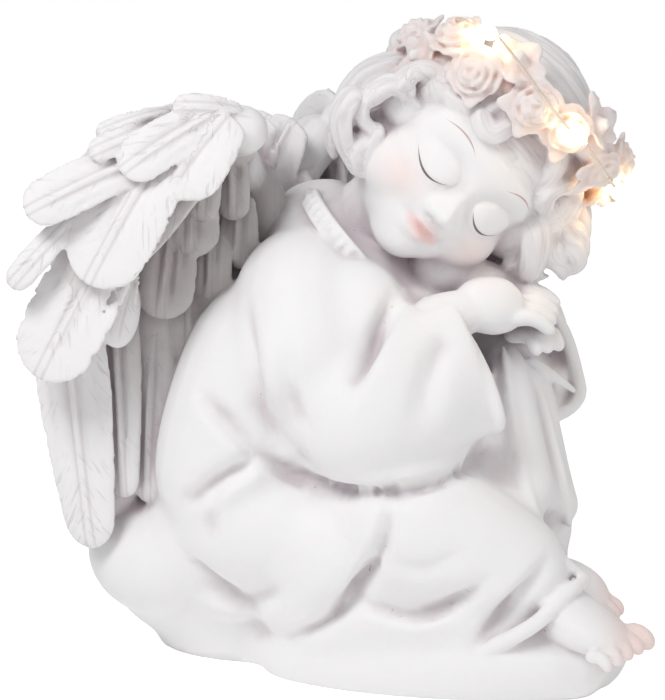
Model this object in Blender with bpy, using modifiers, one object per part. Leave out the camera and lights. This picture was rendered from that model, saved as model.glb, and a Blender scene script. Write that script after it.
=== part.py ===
"""A seated angel figurine asleep on its hands: one resin casting with a string of micro lights in its wreath."""

import math

import bmesh
import bpy
import numpy as np
from mathutils import Vector
from mathutils.bvhtree import BVHTree

# Driving dimensions, in metres
HEIGHT = 0.200
DROP_DIAMETER = 0.0042
DROP_LENGTH = 0.0060
WIRE_DIAMETER = 0.0009
FIT_GAP = 0.0003
WIRE_LIFT = 0.0022
# How far along the wreath each end of the string reaches before it goes down between the petals
FIRST_TAIL_LENGTH = 0.0077
LAST_TAIL_LENGTH = 0.014

# The casting is carved in units of one two-hundredth of its height
UNIT = HEIGHT / 200
CLAY_GRAIN = 1.25
CAST_TRIANGLES = 8400

# The head: its centre and its own axes, in carving units
HEAD_CENTRE = np.array([37.5, -5.0, 153.5])
HEAD_UP = np.array([0.760, -0.096, 0.639])
HEAD_FORWARD = np.array([0.08, -0.966, -0.24])

# From where the figurine is seen, a little from above
VIEW_ELEVATION = math.radians(11)
SEEN = (0, math.cos(VIEW_ELEVATION), -math.sin(VIEW_ELEVATION))

# The wreath: a ring on the head, leaning back from its up axis
WREATH_CENTRE = (-3.0, 1.0, 17.0)
WREATH_RADIUS = 34.5
WREATH_LEAN = math.radians(30)
WREATH_ROLL = math.radians(9)
LIGHT_ANGLES = [math.radians(a) for a in (-50, 3, 55)]
LIGHT_SHIFTS = (7.0, 0.0, 0.0)
LIGHT_LEANS = (0.0, 0.6, 0.6)

# The plane of symmetry of the wings: a point of the spine and the way to the figure's left
SPINE = np.array([-19.0, 14.0, 0.0])
FIGURE_LEFT = np.array([0.5, 0.866, 0.0])


def unit(v):
    v = np.asarray(v, float)
    return v / np.linalg.norm(v)


def along(stations, t):
    """Points at shares t of a smooth curve through the stations."""
    stations = np.asarray(stations, float).reshape(len(stations), -1)
    first = 2 * stations[0] - stations[1]
    last = 2 * stations[-1] - stations[-2]
    p = np.vstack([first, stations, last])
    place = np.clip(np.asarray(t, float), 0, 1) * (len(stations) - 1)
    i = np.minimum(place.astype(int), len(stations) - 2)
    f = (place - i)[:, None]
    a, b, c, d = p[i], p[i + 1], p[i + 2], p[i + 3]
    return 0.5 * (2 * b + (c - a) * f + (2 * a - 5 * b + 4 * c - d) * f**2 + (3 * b - a - 3 * c + d) * f**3)


def fresh_ball(sides, rings):
    """A unit ball of clay, and the coordinates of its vertices."""
    lump = bmesh.new()
    bmesh.ops.create_uvsphere(lump, u_segments=sides, v_segments=rings, radius=1.0)
    return lump, np.array([v.co for v in lump.verts])


def add(clay, lump, points):
    """Moves a lump's vertices to the points and puts it with the clay."""
    for vertex, point in zip(lump.verts, points):
        vertex.co = point * UNIT
    mesh = bpy.data.meshes.new("lump")
    lump.to_mesh(mesh)
    lump.free()
    clay.from_mesh(mesh)
    bpy.data.meshes.remove(mesh)


def ball(clay, centre, radii, axes=None, sides=20, rings=14):
    """An egg of clay. Axes are the directions of its three radii."""
    lump, points = fresh_ball(sides, rings)
    axes = np.eye(3) if axes is None else np.array([unit(a) for a in axes])
    add(clay, lump, np.asarray(centre, float) + (points * radii) @ axes)


def roll(clay, path, across, through, facing, sides=14, rings=18, caps=None, relief=None):
    """Clay rolled out along a path, with rounded ends.

    Half widths lie across the way it faces, and half depths along it."""
    lump, points = fresh_ball(sides, rings)
    share = (1 + points[:, 2]) / 2
    turn = np.arctan2(points[:, 1], points[:, 0])
    length = np.linalg.norm(np.diff(along(path, np.linspace(0, 1, 20)), axis=0), axis=1).sum()
    if caps is None:
        caps = [min(max(1.1 * max(across[e], across[n]) / length, 0.06), 0.5) for e, n in ((0, 1), (-1, -2))]
    spine = along(path, share)
    ahead = along(path, np.minimum(share + 0.01, 1)) - along(path, np.maximum(share - 0.01, 0))
    ahead /= np.linalg.norm(ahead, axis=1)[:, None]
    if np.ndim(facing) == 2:
        facing = along(facing, share)
    else:
        facing = np.tile(np.asarray(facing, float), (len(share), 1))
    out = facing - ahead * (facing * ahead).sum(1)[:, None]
    out /= np.linalg.norm(out, axis=1)[:, None]
    side = np.cross(out, ahead)
    inner = np.clip(np.minimum(share / caps[0], (1 - share) / caps[1]), 0, 1)
    size = np.sqrt(1 - (1 - inner) ** 2)
    if relief:
        size = size * relief(share, turn)
    wide = along(across, share)[:, 0] * size * np.cos(turn)
    deep = along(through, share)[:, 0] * size * np.sin(turn)
    add(clay, lump, spine + side * wide[:, None] + out * deep[:, None])


def limb(clay, path, radii, **more):
    roll(clay, path, radii, radii, (0, -1, 0.05), **more)


def evaluated(obj):
    """The object's mesh with its modifiers applied, and the object removed."""
    bpy.context.view_layer.update()
    graph = bpy.context.evaluated_depsgraph_get()
    mesh = bpy.data.meshes.new_from_object(obj.evaluated_get(graph))
    bpy.data.objects.remove(obj)
    return mesh


def helper(name, mesh):
    obj = bpy.data.objects.new(name, mesh)
    bpy.context.scene.collection.objects.link(obj)
    return obj


def fused(clay, grain, softness, web=0):
    """The lumps of clay as one skin, softened where they meet. A web fills the creases under that width."""
    obj = helper("lumps", to_mesh(clay, "lumps"))
    remesh(obj, grain)
    if web:
        displace(obj, web)
        remesh(obj, grain)
        soften(obj, softness)
        displace(obj, -web)
    else:
        soften(obj, softness)
    return evaluated(obj)


def remesh(obj, grain):
    skin = obj.modifiers.new("Skin", "REMESH")
    skin.mode = "VOXEL"
    skin.voxel_size = grain * UNIT


def soften(obj, turns):
    if turns:
        smooth = obj.modifiers.new("Soften", "SMOOTH")
        smooth.factor = 0.5
        smooth.iterations = turns


def displace(obj, distance):
    grow = obj.modifiers.new("Grow", "DISPLACE")
    grow.strength = distance * UNIT
    grow.mid_level = 0


def joined(meshes):
    """Several meshes as one bmesh."""
    clay = bmesh.new()
    for mesh in meshes:
        clay.from_mesh(mesh)
        bpy.data.meshes.remove(mesh)
    return clay


def bump(distance, width):
    return np.exp(-((distance / width) ** 2))


class Surface:
    """A mesh's points and normals, to be carved."""

    def __init__(self, mesh):
        self.mesh = mesh
        self.points = np.zeros(len(mesh.vertices) * 3)
        mesh.vertices.foreach_get("co", self.points)
        self.points = self.points.reshape(-1, 3) / UNIT
        self.normals = np.zeros(len(mesh.vertices) * 3)
        mesh.vertices.foreach_get("normal", self.normals)
        self.normals = self.normals.reshape(-1, 3)
        corners = [p.vertices[:] for p in mesh.polygons]
        self.tree = BVHTree.FromPolygons([Vector(p) for p in self.points], corners)

    def onto(self, points, toward):
        """Where rays through the points, along toward, first meet the surface."""
        found = []
        for point in points:
            start = Vector(point) - Vector(toward) * 300
            hit = self.tree.ray_cast(start, Vector(toward))[0]
            if hit is not None:
                found.append(hit)
        return np.array(found)

    def stroke(self, path, width, depth, toward=SEEN, crisp=False, samples=28, lean=0.0):
        """Raises (depth above 0) or cuts the surface along a path seen from one side, fading at both ends.

        Lean above 0 lets the left bank of the stroke, as it runs, rise gently over that many widths."""
        share = np.linspace(0, 1, samples)
        path = np.array([(x, 0, z) for x, z in path], float) if len(path[0]) == 2 else np.array(path, float)
        line = self.onto(along(path, share), toward)
        if not len(line):
            return
        for _ in range(8):
            line[1:-1] = line[1:-1] / 2 + (line[:-2] + line[2:]) / 4
        reach = (3 + 3 * abs(lean)) * width
        low, high = line.min(0) - reach, line.max(0) + reach
        near = np.where(((self.points > low) & (self.points < high)).all(1))[0]
        away = np.full(len(near), 1e9)
        at = np.zeros(len(near), int)
        for i, point in enumerate(line):
            d = np.linalg.norm(self.points[near] - point, axis=1)
            closer = d < away
            away[closer], at[closer] = d[closer], i
        fade = np.clip(np.sin(np.clip(at / max(len(line) - 1, 1), 0.02, 0.98) * math.pi), 0, 1) ** 0.5
        falloff = np.exp(-away / width) if crisp else bump(away, width)
        move = depth * fade * falloff
        if lean:
            ahead = np.gradient(line, axis=0)
            left = np.cross(ahead, np.asarray(toward, float))
            left /= np.linalg.norm(left, axis=1)[:, None] + 1e-9
            offset = ((self.points[near] - line[at]) * left[at]).sum(1)
            bank = bump(away, width * (1.4 + abs(lean))) * np.clip(offset * np.sign(lean) / width - 0.4, 0, 1)
            move = move - 0.55 * depth * fade * bank
        self.points[near] += self.normals[near] * move[:, None]

    def dent(self, centre, radii, push, axes=None):
        """Pushes what lies within an egg along push, fading to its edge."""
        axes = np.eye(3) if axes is None else np.array([unit(a) for a in axes])
        away = np.linalg.norm((self.points - centre) @ axes.T / radii, axis=1)
        inside = away < 1
        self.points[inside] += np.outer((1 - away[inside] ** 2) ** 2, push)

    def done(self):
        self.mesh.vertices.foreach_set("co", (self.points * UNIT).ravel())
        self.mesh.update()
        return self.mesh


# The robed body


def robe_masses(clay):
    """Torso and seat under the cloth."""
    facing = (0, -1, 0)
    roll(clay, [(-18, 16, -22), (-18, 16, 6), (-21, 16, 24), (-24, 14, 40), (-24, 12, 60)],
         [30, 38, 47, 47, 32], [24, 30, 36, 36, 28], facing, sides=26, caps=(0.2, 0.5))
    back = [(-26, 9, 20), (-24, 9, 44), (-22, 10, 66), (-15.5, 10, 87), (-8, 9, 107), (-2, 8, 124), (5, 4, 143)]
    roll(clay, back, [24, 28, 28, 27, 25, 21, 15], [28, 31, 31, 31, 30, 27, 15], facing, sides=26, rings=24,
         caps=(0.2, 0.1))
    # Side of the body, level with the arm that hangs over it
    limb(clay, [(-13, -6, 120), (-22, -12, 98), (-28, -15, 77), (-31, -14, 58), (-28, -10, 40)],
         [15, 20, 22, 22, 20])
    ball(clay, (2, -19, 40), (27, 26, 22), sides=26, rings=18)
    ball(clay, (-49, 6, 31), (26, 27, 21), sides=26, rings=18)


def robe_legs(clay):
    ball(clay, (-16, -8, 46), (35, 31, 25), sides=26, rings=18)
    limb(clay, [(2, -22, 47), (20, -30, 48), (38, -34, 43), (54, -36, 36), (68, -37, 28)],
         [22, 23, 20, 16, 12])
    roll(clay, [(-20, -8, 20), (6, -20, 22), (32, -28, 22), (56, -31, 19), (76, -33, 12)],
         [20, 21, 20, 17, 13], [20, 22, 20, 17, 14], (0, -1, 0), sides=20)
    roll(clay, [(-20, -4, 4), (10, -22, 6), (40, -32, 8), (66, -34, 9), (82, -36, 8)],
         [12, 14, 15, 14, 10], [18, 20, 19, 18, 14], (0, -1, 0), sides=20)
    limb(clay, [(-16, 26, 44), (8, 26, 66), (30, 18, 82), (48, 9, 88)], [24, 21, 17, 13])
    limb(clay, [(49, 8, 96), (51, 8, 76), (54, 6, 57), (61, 2, 42), (68, -3, 30)], [11, 12.5, 12, 11, 9])
    ball(clay, (28, 2, 30), (44, 32, 34), sides=26, rings=18)
    roll(clay, [(60, -18, -16), (62, -20, 2), (65, -22, 12), (66, -22, 20)],
         [12, 19, 24, 22], [14, 20, 25, 22], (0, -1, 0), sides=20, caps=(0.2, 0.2))


def robe_sleeves(clay):
    # Near arm: shoulder to elbow, then the bell of the sleeve up to the wrist
    limb(clay, [(-8, -4, 130), (-10, -17, 114), (-7, -27, 97), (-2, -33, 82)], [16, 19, 20, 18])
    roll(clay, [(-10, -30, 78), (6, -37, 81), (22, -37, 88), (34, -33, 94), (42, -31, 97)],
         [16, 19, 19.5, 20, 20], [15, 16, 14, 11, 9], (0, -1, 0), sides=20, caps=(0.3, 0.04))
    limb(clay, [(2, -14, 122), (9, -25, 107), (11, -32, 91)], [14, 14, 15])
    ball(clay, (39, -33, 83), (11, 7, 9))
    ball(clay, (40, -15, 67), (13, 12, 14))
    # Far arm and its sleeve, hanging from the wrist
    limb(clay, [(8, 30, 126), (22, 38, 108), (36, 36, 92), (46, 32, 84)], [16, 17, 16, 13])
    limb(clay, [(42, 32, 82), (52, 26, 92), (60, 16, 102)], [14, 13, 9])
    roll(clay, [(57, 12, 112), (62, 16, 100), (64, 18, 84), (63, 18, 68)], [7, 9, 10, 9.5], [7, 10, 12, 11],
         (0.5, -1, 0), sides=18, caps=(0.3, 0.08))
    # Chest between the arms
    limb(clay, [(0, 2, 121), (10, -3, 113), (22, -8, 101)], [21, 18, 16])
    ball(clay, (23, -14, 105), (14, 13, 12))
    # Cloth that hangs from the far sleeve down over the shin
    limb(clay, [(50, -8, 98), (53, -11, 80), (55, -15, 64), (60, -22, 48)], [6, 7.5, 9, 8])
    limb(clay, [(58, 3, 92), (62, 0, 70), (65, -4, 54), (69, -10, 42)], [6, 7, 7.5, 7])


HEMS = {
    "cuff": ([(26, -28, 116), (31, -31, 112), (37, -34, 106), (42.5, -37, 97), (46.5, -38, 87),
              (48.5, -37, 78), (45, -35, 74)], 1.9),
    "leg_edge": ([(28, -35, 62), (40, -37, 56), (52, -38, 49), (60, -39, 45), (68, -39, 38),
                  (75, -36, 33)], 2.0),
    "hem": ([(75, -37, 34), (68, -46, 32), (58, -51, 24), (47, -51, 16), (38, -50, 9)], 2.4),
    "hanging_fold": ([(50, -14, 99), (52.5, -18, 82), (55, -23, 66), (60, -30, 49), (67, -33, 40)], 1.7),
    "shin_fold": ([(60, -4, 90), (65, -6, 70), (69, -10, 54), (74, -14, 42)], 2.0),
    "far_cuff": ([(59, -1, 92), (66, 0, 86.5), (74, 4, 80)], 1.6),
    "far_edge": ([(66, 12, 106), (71, 11, 96), (74.5, 9, 84), (75, 8, 78), (70, 8, 73), (63, 10, 71)], 2.2),
}

FOLDS = [
    # Seen points (x, z), width, depth, crisp, lean
    ([(-25, 106), (-23, 92), (-21, 79), (-16, 65)], 2.8, -3.0, False, 1.0),
    ([(-19, 100), (-16, 84), (-10, 68)], 3.0, 1.2, False, 0),
    ([(-13, 96), (-12, 82), (-5, 68)], 2.4, -1.2, False, 0),
    ([(18, 109), (12, 97), (5, 83)], 2.8, -6.0, False, 1.0),
    ([(32, 99), (28, 88), (24, 72)], 4.5, -3.0, False, 0),
    ([(-38, 81), (-30, 73), (-20, 63)], 2.8, -4.0, False, -1.0),
    ([(-44, 47), (-33, 55), (-20, 63)], 3.0, -4.5, False, -1.0),
    ([(-34, 54), (-35, 45), (-35, 38)], 2.4, -2.0, False, 0),
    ([(-42, 31), (-35, 25), (-28, 20)], 2.8, -3.2, False, 0),
    ([(-53, 45), (-44, 28), (-37, 19), (-26, 14), (-13, 17), (-3, 26), (8, 43)], 4.5, 3.0, False, 0),
    ([(17, 48), (12, 32), (0, 15), (-12, 8)], 2.6, -5.5, False, -1.0),
    ([(6, 21), (22, 16), (33, 19), (43, 26)], 2.6, -3.6, False, -1.0),
    ([(14, 33), (26, 30), (38, 36)], 2.4, -1.5, False, 0),
    ([(62, 32), (51, 20), (42, 8)], 2.6, -3.6, False, -1.0),
    ([(-22, 64), (-10, 57), (4, 53), (18, 53), (33, 56), (46, 64)], 2.3, -6.0, False, 1.0),
]


def robed_body():
    clay = bmesh.new()
    robe_masses(clay)
    robe_legs(clay)
    robe_sleeves(clay)
    skin = Surface(fused(clay, CLAY_GRAIN, 12, web=5))
    # Mouths of the two sleeves
    skin.dent((47, -29, 92), (9, 10, 14), (-9, 0, 0))
    skin.dent((66, 6, 94), (9, 14, 13), (0, 9, 0))
    for path, width, depth, crisp, lean in FOLDS:
        skin.stroke(path, width, depth, crisp=crisp, lean=lean)
    clay = joined([skin.done()])
    for path, half in HEMS.values():
        limb(clay, path, [half * 0.3] + [half] * (len(path) - 2) + [half * 0.3], sides=10, rings=24)
    collar(clay)
    return fused(clay, CLAY_GRAIN * 0.8, 2)


COLLAR_CENTRE = np.array([6.5, 0.0, 126.5])
COLLAR_AXIS = np.array([0.74, -0.06, 0.66])
COLLAR_RADIUS = 19.5


def collar(clay):
    """A stand-up band round the neck."""
    axis = unit(COLLAR_AXIS)
    first = unit(np.cross(axis, (0, 1, 0)))
    second = np.cross(axis, first)
    turns = [2 * math.pi * i / 24 for i in range(25)]
    ways = [first * math.cos(t) + second * math.sin(t) for t in turns]
    ring = [COLLAR_CENTRE + way * COLLAR_RADIUS for way in ways]
    roll(clay, ring, [3.0] * 4, [1.7] * 4, ways, sides=12, rings=60)


# Hands and feet


def finger(clay, path, radius):
    limb(clay, path, [radius, radius, radius * 0.92, radius * 0.8], sides=10, rings=12)


def hands(clay):
    ball(clay, (34, -9, 121), (11, 10, 10))
    limb(clay, [(22, -29, 104), (33, -28, 109), (44, -25.5, 110.5)], [9, 7.5, 6.5])
    roll(clay, [(34, -27, 110.5), (45, -24.5, 112), (56, -20, 108.5)], [6.5, 8.6, 7.6], [5.8, 6.2, 5.0],
         (0, -1, 0.35))
    for i in range(4):
        start = np.array([50.0, -26.0, 108.0]) + i * np.array([0.9, 4.3, 1.8])
        finger(clay, [start, start + (8, 2.0, 0.0), start + (14.5, 3.6, -4.6)], 2.7)
    # The other hand lies under it, with the cheek on both
    limb(clay, [(62, 14, 102), (57, 3, 106), (47, -8, 113), (34, -14, 116)], [8, 8.5, 9, 9])
    for i in range(3):
        start = np.array([51.0, -11.0, 100.5]) + i * np.array([3.4, 2.2, 0.2])
        finger(clay, [start, start + (6.5, -6.0, 0.8), start + (9.5, -9.0, -4.2)], 2.7)


def feet(clay):
    roll(clay, [(48, -36, 22), (62, -39, 25), (74, -45, 21), (86, -51, 16)], [8, 9, 11, 10], [9, 10, 7, 4.5],
         (0, 0, 1))
    for i in range(5):
        start = np.array([84.0, -42.0, 18.5]) + i * np.array([-3.0, -3.7, -0.6])
        size = (3.3, 2.5, 2.4, 2.2, 2.0)[i]
        finger(clay, [start, start + (4.5, -2.6, 0.2), start + (8.6 - 0.5 * i, -4.6, -3.2)], size)
    roll(clay, [(60, -4, 24), (72, -10, 24), (82, -17, 18)], [8, 8.5, 8], [8, 7, 4.5], (0, 0, 1))
    for i in range(3):
        start = np.array([80.0, -9.5, 18.5]) + i * np.array([-1.6, -4.2, -0.2])
        finger(clay, [start, start + (4.0, -2.4, 0.2), start + (7.4, -3.8, -3.0)], 2.5)


# The head, worked in its own axes: forward, to its left, up

UP = unit(HEAD_UP)
FORWARD = unit(HEAD_FORWARD - UP * HEAD_FORWARD.dot(UP))
LEFT = np.cross(UP, FORWARD)
HEAD_AXES = np.array([FORWARD, LEFT, UP])


def head(point):
    return HEAD_CENTRE + np.asarray(point, float) @ HEAD_AXES


def head_way(direction):
    return np.asarray(direction, float) @ HEAD_AXES


def head_ball(clay, centre, radii, **more):
    ball(clay, head(centre), radii, HEAD_AXES, **more)


FACE_SIZE = 1.12


def skull(clay):
    for centre, radii, sides in (((-3, 0, 9), (28, 26, 28), 32), ((5.5, 0, -6), (20, 22.5, 22.5), 32),
                                 ((6.5, 0, 3), (19.5, 22.5, 21), 32), ((12.5, 0, -17), (12.5, 13, 10.5), 24),
                                 ((13, 0, -22), (9.5, 9, 7.5), 24), ((10.5, 11.5, -11.5), (11.5, 11, 10.5), 24),
                                 ((10.5, -11.5, -11.5), (11.5, 11, 10.5), 24)):
        size = 1.0 if centre[0] < 0 else FACE_SIZE
        head_ball(clay, np.array(centre) * size, np.array(radii) * size, sides=sides, rings=sides * 3 // 4)
    limb(clay, [(-2, 8, 118), (12, 3, 132), (24, -1, 142), (30, -2, 146)], [14, 14, 15, 15])


def features(clay):
    def lump(centre, radii):
        head_ball(clay, np.array(centre) * FACE_SIZE, np.array(radii) * FACE_SIZE)

    def ridge(path, across, through, facing):
        across, through = np.array(across) * FACE_SIZE, np.array(through) * FACE_SIZE
        roll(clay, head(np.array(path) * FACE_SIZE), across, through, head_way(facing))

    for side in (-1, 1):
        lump((20.3, side * 9.8, -2.6), (5.4, 6.4, 4.6))
        lump((25.8, side * 3.0, -9.8), (2.6, 2.0, 1.9))
    ridge([(22.6, 0, 3), (24.6, 0, -3), (27.8, 0, -8.6), (26.6, 0, -10.6)],
          [2.4, 2.4, 3.0, 2.2], [3, 3, 3, 2.4], (1, 0, 0.3))
    ridge([(24.6, -5.6, -17), (27.4, -1.9, -15.4), (27.6, 0, -15.9), (27.4, 1.9, -15.4), (24.6, 5.6, -17)],
          [0.9, 1.5, 1.3, 1.5, 0.9], [1.2, 1.9, 1.9, 1.9, 1.2], (1, 0, 0.2))
    ridge([(24.8, -4.4, -18.2), (26.9, 0, -19.3), (24.8, 4.4, -18.2)],
          [1.0, 1.9, 1.0], [1.4, 2.2, 1.4], (1, 0, 0))


# Hair


HAIR_CENTRE = np.array([-4.0, 0.0, 10.0])
HAIR_RADII = np.array([33.0, 31.5, 33.5])


def strand(clay, path, width, thick=0.72, facing=None, grooves=3, rings=20):
    """A lock of hair along a path in head axes, wavy in section, thinning to its tip."""
    path = np.array(path, float)
    out = [unit(p - HAIR_CENTRE) for p in path] if facing is None else [facing] * len(path)
    across = width * np.interp(np.linspace(0, 1, 6), [0, 0.25, 0.6, 1], [0.75, 1, 0.95, 0.45])
    roll(clay, head(path), across, across * thick, head_way(out), sides=20, rings=rings, caps=(0.12, 0.3),
         relief=lambda t, turn: 1 + 0.13 * np.cos(2 * grooves * turn + 3 * t))


def curl(clay, start, heading, length, width, turns, lift):
    """A lock that follows the head from a start, bending as it goes and standing off it."""
    steps = 9
    now = unit(start)
    way = unit(np.asarray(heading, float) - now * np.dot(heading, now))
    points = []
    for step in range(steps):
        share = step / (steps - 1)
        reach = 1 / np.linalg.norm(now / HAIR_RADII)
        points.append(HAIR_CENTRE + now * (reach + lift * math.sin(share * math.pi * 0.75)))
        bend = turns * (0.4 + 1.2 * share) / (steps - 1)
        way = way * math.cos(bend) + np.cross(now, way) * math.sin(bend)
        now = unit(now + way * length / (steps - 1) / reach)
        way = unit(way - now * way.dot(now))
    strand(clay, points, width)


def combed_cap(clay):
    """The smooth hair behind the wreath, combed in rows that run with the ring."""
    lean = math.cos(WREATH_LEAN), math.sin(WREATH_LEAN)
    lump, points = fresh_ball(50, 80)
    height = np.arcsin(np.clip(points[:, 2], -1, 1))
    turn = np.arctan2(points[:, 1], points[:, 0])
    rows = 1 + 0.026 * np.abs(np.cos(height * 13 + 1.2 * np.sin(3 * turn)))
    axes = np.array([(lean[0], 0, lean[1]), (0, 1, 0), (-lean[1], 0, lean[0])]) @ HEAD_AXES
    placed = head(HAIR_CENTRE + (0, 1.5, 0)) + (points * rows[:, None] * (31.0, 28.5, 32.0)) @ axes
    add(clay, lump, placed)


LOCKS = [
    # Path in head axes, half width
    ([(18, -31, 13), (15, -34, 5), (14, -34.5, -4), (13, -32, -12), (13, -27, -19)], 4.6),
    ([(8, -32, 8), (7, -35, -3), (7, -33, -13), (8, -27, -22)], 5.0),
    ([(24, -24, 3), (22, -30, 3), (21, -34, -2), (20, -33, -8), (19, -29, -11)], 3.4),
    ([(17, -25, 5), (19, -29, -4), (18, -30, -12), (16, -26, -18)], 4.0),
    ([(22, -30, 14), (25, -32, 9), (25.5, -29, 5), (26, -24.5, 6.5), (27, -21, 10)], 3.8),
    ([(22, -29, 17), (27, -24, 13), (29, -19, 15), (28, -15, 21)], 4.0),
    ([(22, -25, 25), (28, -21, 19), (31, -15, 14.5), (32, -8, 13.5)], 4.2),
    ([(22, -19, 29), (28, -13.5, 24), (32, -9, 19), (32.5, -6, 14)], 4.4),
    ([(22, -12, 33), (28, -7, 29), (31, -3, 23), (31, -1, 17)], 4.6),
    ([(22, -4, 34), (28, 1, 29), (30, 8, 24), (28, 15, 18), (26, 18, 11)], 4.2),
    ([(18, 8, 33), (23, 15, 29), (24, 20, 23), (25, 19, 16)], 4.4),
    ([(12, 20, 28), (15, 28, 23), (16, 34, 20), (16, 36, 14), (15, 31, 10)], 4.8),
    ([(21, 18, 17), (22, 21, 11), (21, 28, 9), (19, 32, 11)], 3.8),
    ([(14, 26, 12), (17, 33, 5), (17, 39, 4), (16, 41, 8), (15, 37, 12)], 4.6),
    ([(19, 24, 6), (18, 31, 0), (17, 38, -4), (15, 42, 0), (13, 41, 5)], 4.8),
    ([(19, 24, 0), (18, 28, -6), (16, 35, -8), (13, 39, -5)], 4.4),
    ([(4, 29, 17), (4, 39, 13), (3, 44, 5), (3, 40, -4)], 6.0),
    ([(10, 28, 2), (9, 34, -4), (8, 34, -11), (9, 28, -16)], 5.5),
    ([(-8, 28, 14), (-8, 39, 8), (-8, 42, -2), (-9, 36, -10)], 6.5),
    ([(-2, 28, -2), (-2, 33, -10), (-3, 29, -18)], 6.0),
    ([(4, -30, -2), (6, -33, -12), (9, -30, -20), (12, -26, -23)], 5.2),
    ([(-6, -29, 8), (-7, -34, -6), (-5, -31, -18), (-1, -26, -26)], 6.5),
    ([(-9, -27, -14), (-9, -26, -24), (-5, -22, -30)], 5.5),
]

SWIRLS = [
    # Middle in head axes, radius of the outer turn, angle of its end, hand, half width
    ((24, -29, 8), 6.0, 2.6, 1, 2.6), ((30, -4, 20), 6.4, 0.3, -1, 2.8), ((24, 21, 18), 6.0, 0.8, -1, 2.8),
    ((17, 36, 1), 6.6, 0.6, -1, 3.0), ((8, 40, 8), 6.4, 2.8, 1, 3.0),
]


def swirl(clay, centre, radius, start, hand, width):
    """A lock that winds in on itself, like a shell lying on the head."""
    centre = np.array(centre, float)
    out = unit(centre - HAIR_CENTRE)
    across = unit(np.cross(out, (0, 0, 1)))
    upward = np.cross(across, out)
    points = []
    for share in np.linspace(0, 1, 12):
        angle = start + hand * share * 8.2
        reach = radius * (1 - 0.78 * share)
        rise = 0.6 + 1.6 * share
        points.append(centre + (across * math.cos(angle) + upward * math.sin(angle)) * reach + out * rise)
    strand(clay, points, width, thick=0.9, facing=out, grooves=2, rings=40)


def hair(clay):
    shake = np.random.RandomState(7)
    combed_cap(clay)
    head_ball(clay, (7, 26, 4), (13, 12, 16))
    for path, width in LOCKS:
        strand(clay, path, width)
    for swirled in SWIRLS:
        swirl(clay, *swirled)
    # Hair under the wreath, so that no gap shows between its flowers
    for place in ((14, 0, 26), (14, -16, 24), (13, 16, 22), (11, 27, 13), (12, -26, 14)):
        head_ball(clay, place, (9, 9, 9))
    # Back of the head, down to the nape
    for row in range(3):
        for i in range(6):
            start = (-1, -1.15 + 0.45 * i + 0.1 * shake.rand(), 0.30 - 0.42 * row)
            curl(clay, start, (0, 0.25 * (i - 2.5), -1), 20, 6.0 + shake.rand(), (-1) ** (i + row) * 1.4, 3.0)


# The wreath


def wreath_frame(angle):
    """A point of the wreath's ring, the way out from it and the way along it, in the head's axes."""
    top = np.array([math.cos(WREATH_LEAN), 0, math.sin(WREATH_LEAN)])
    normal = np.array([-math.sin(WREATH_LEAN), 0, math.cos(WREATH_LEAN)])
    side = np.array([0, math.cos(WREATH_ROLL), 0]) + normal * math.sin(WREATH_ROLL)
    out = math.cos(angle) * top + math.sin(angle) * side
    ahead = -math.sin(angle) * top + math.cos(angle) * side
    return np.array(WREATH_CENTRE) + WREATH_RADIUS * out, out, ahead


def round_about(out, ahead, turn):
    return ahead * math.cos(turn) + np.cross(out, ahead) * math.sin(turn)


def petal(clay, centre, out, way, near, far, rise, width, thick):
    """A petal from near to far of a flower's centre, rising over its length."""
    middle = centre + way * (near + far) / 2 + out * rise * 0.65
    path = [centre + way * near, middle, centre + way * far + out * rise]
    roll(clay, head(path), [width * 0.6, width, width * 0.75], [thick] * 3, head_way(out - way * 0.5), sides=12,
         rings=12, caps=(0.2, 0.45))


def rose(clay, centre, out, ahead, radius):
    head_ball(clay, centre + out * radius * 0.1, (radius * 0.55,) * 3, sides=14, rings=10)
    rows = ((4, 0.1, 0.42, 0.85, 0.40), (5, 0.35, 0.80, 0.62, 0.50), (6, 0.5, 1.08, 0.25, 0.52))
    for ring, (count, near, far, rise, width) in enumerate(rows):
        for i in range(count):
            way = round_about(out, ahead, 2 * math.pi * i / count + ring)
            petal(clay, centre, out, way, near * radius, far * radius, rise * radius, width * radius,
                  0.16 * radius)


def blossom(clay, centre, out, ahead, radius, petals=5):
    head_ball(clay, centre + out * radius * 0.1, (radius * 0.4,) * 3, sides=12, rings=8)
    head_ball(clay, centre + out * radius * 0.45, (radius * 0.2,) * 3, sides=12, rings=8)
    for i in range(petals):
        way = round_about(out, ahead, 2 * math.pi * i / petals)
        petal(clay, centre, out, way, 0.1 * radius, 1.1 * radius, 0.35 * radius, 0.42 * radius, 0.17 * radius)


def leaf(clay, centre, out, way, length, width):
    petal(clay, centre, out, way, 0, length, length * 0.25, width, 1.1)


def wreath(clay):
    shake = np.random.RandomState(3)
    turns = [wreath_frame(2 * math.pi * i / 24) for i in range(25)]
    roll(clay, [head(p - out * 2.5) for p, out, _ in turns], [6.0] * 4, [4.0] * 4,
         [head_way(out) for _, out, _ in turns], rings=60, sides=12)
    count = 21
    for i in range(count):
        angle = 2 * math.pi * (i + 0.25 * shake.rand()) / count
        centre, out, ahead = wreath_frame(angle)
        across = np.cross(out, ahead)
        tilt = 0.45 if i % 2 else -0.45
        out = unit(out + across * tilt)
        centre = centre + across * (3.6 if i % 2 else -3.6)
        size = 5.8 + 2.2 * shake.rand()
        if i % 3 == 1:
            blossom(clay, centre, out, ahead, size * 1.1)
        else:
            rose(clay, centre, out, ahead, size)
        for turn in (0.9, 2.4):
            way = round_about(out, ahead, turn + shake.rand() if i % 2 else -turn - shake.rand())
            leaf(clay, centre - out, out, way, 9 + 4 * shake.rand(), 3.4)


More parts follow.
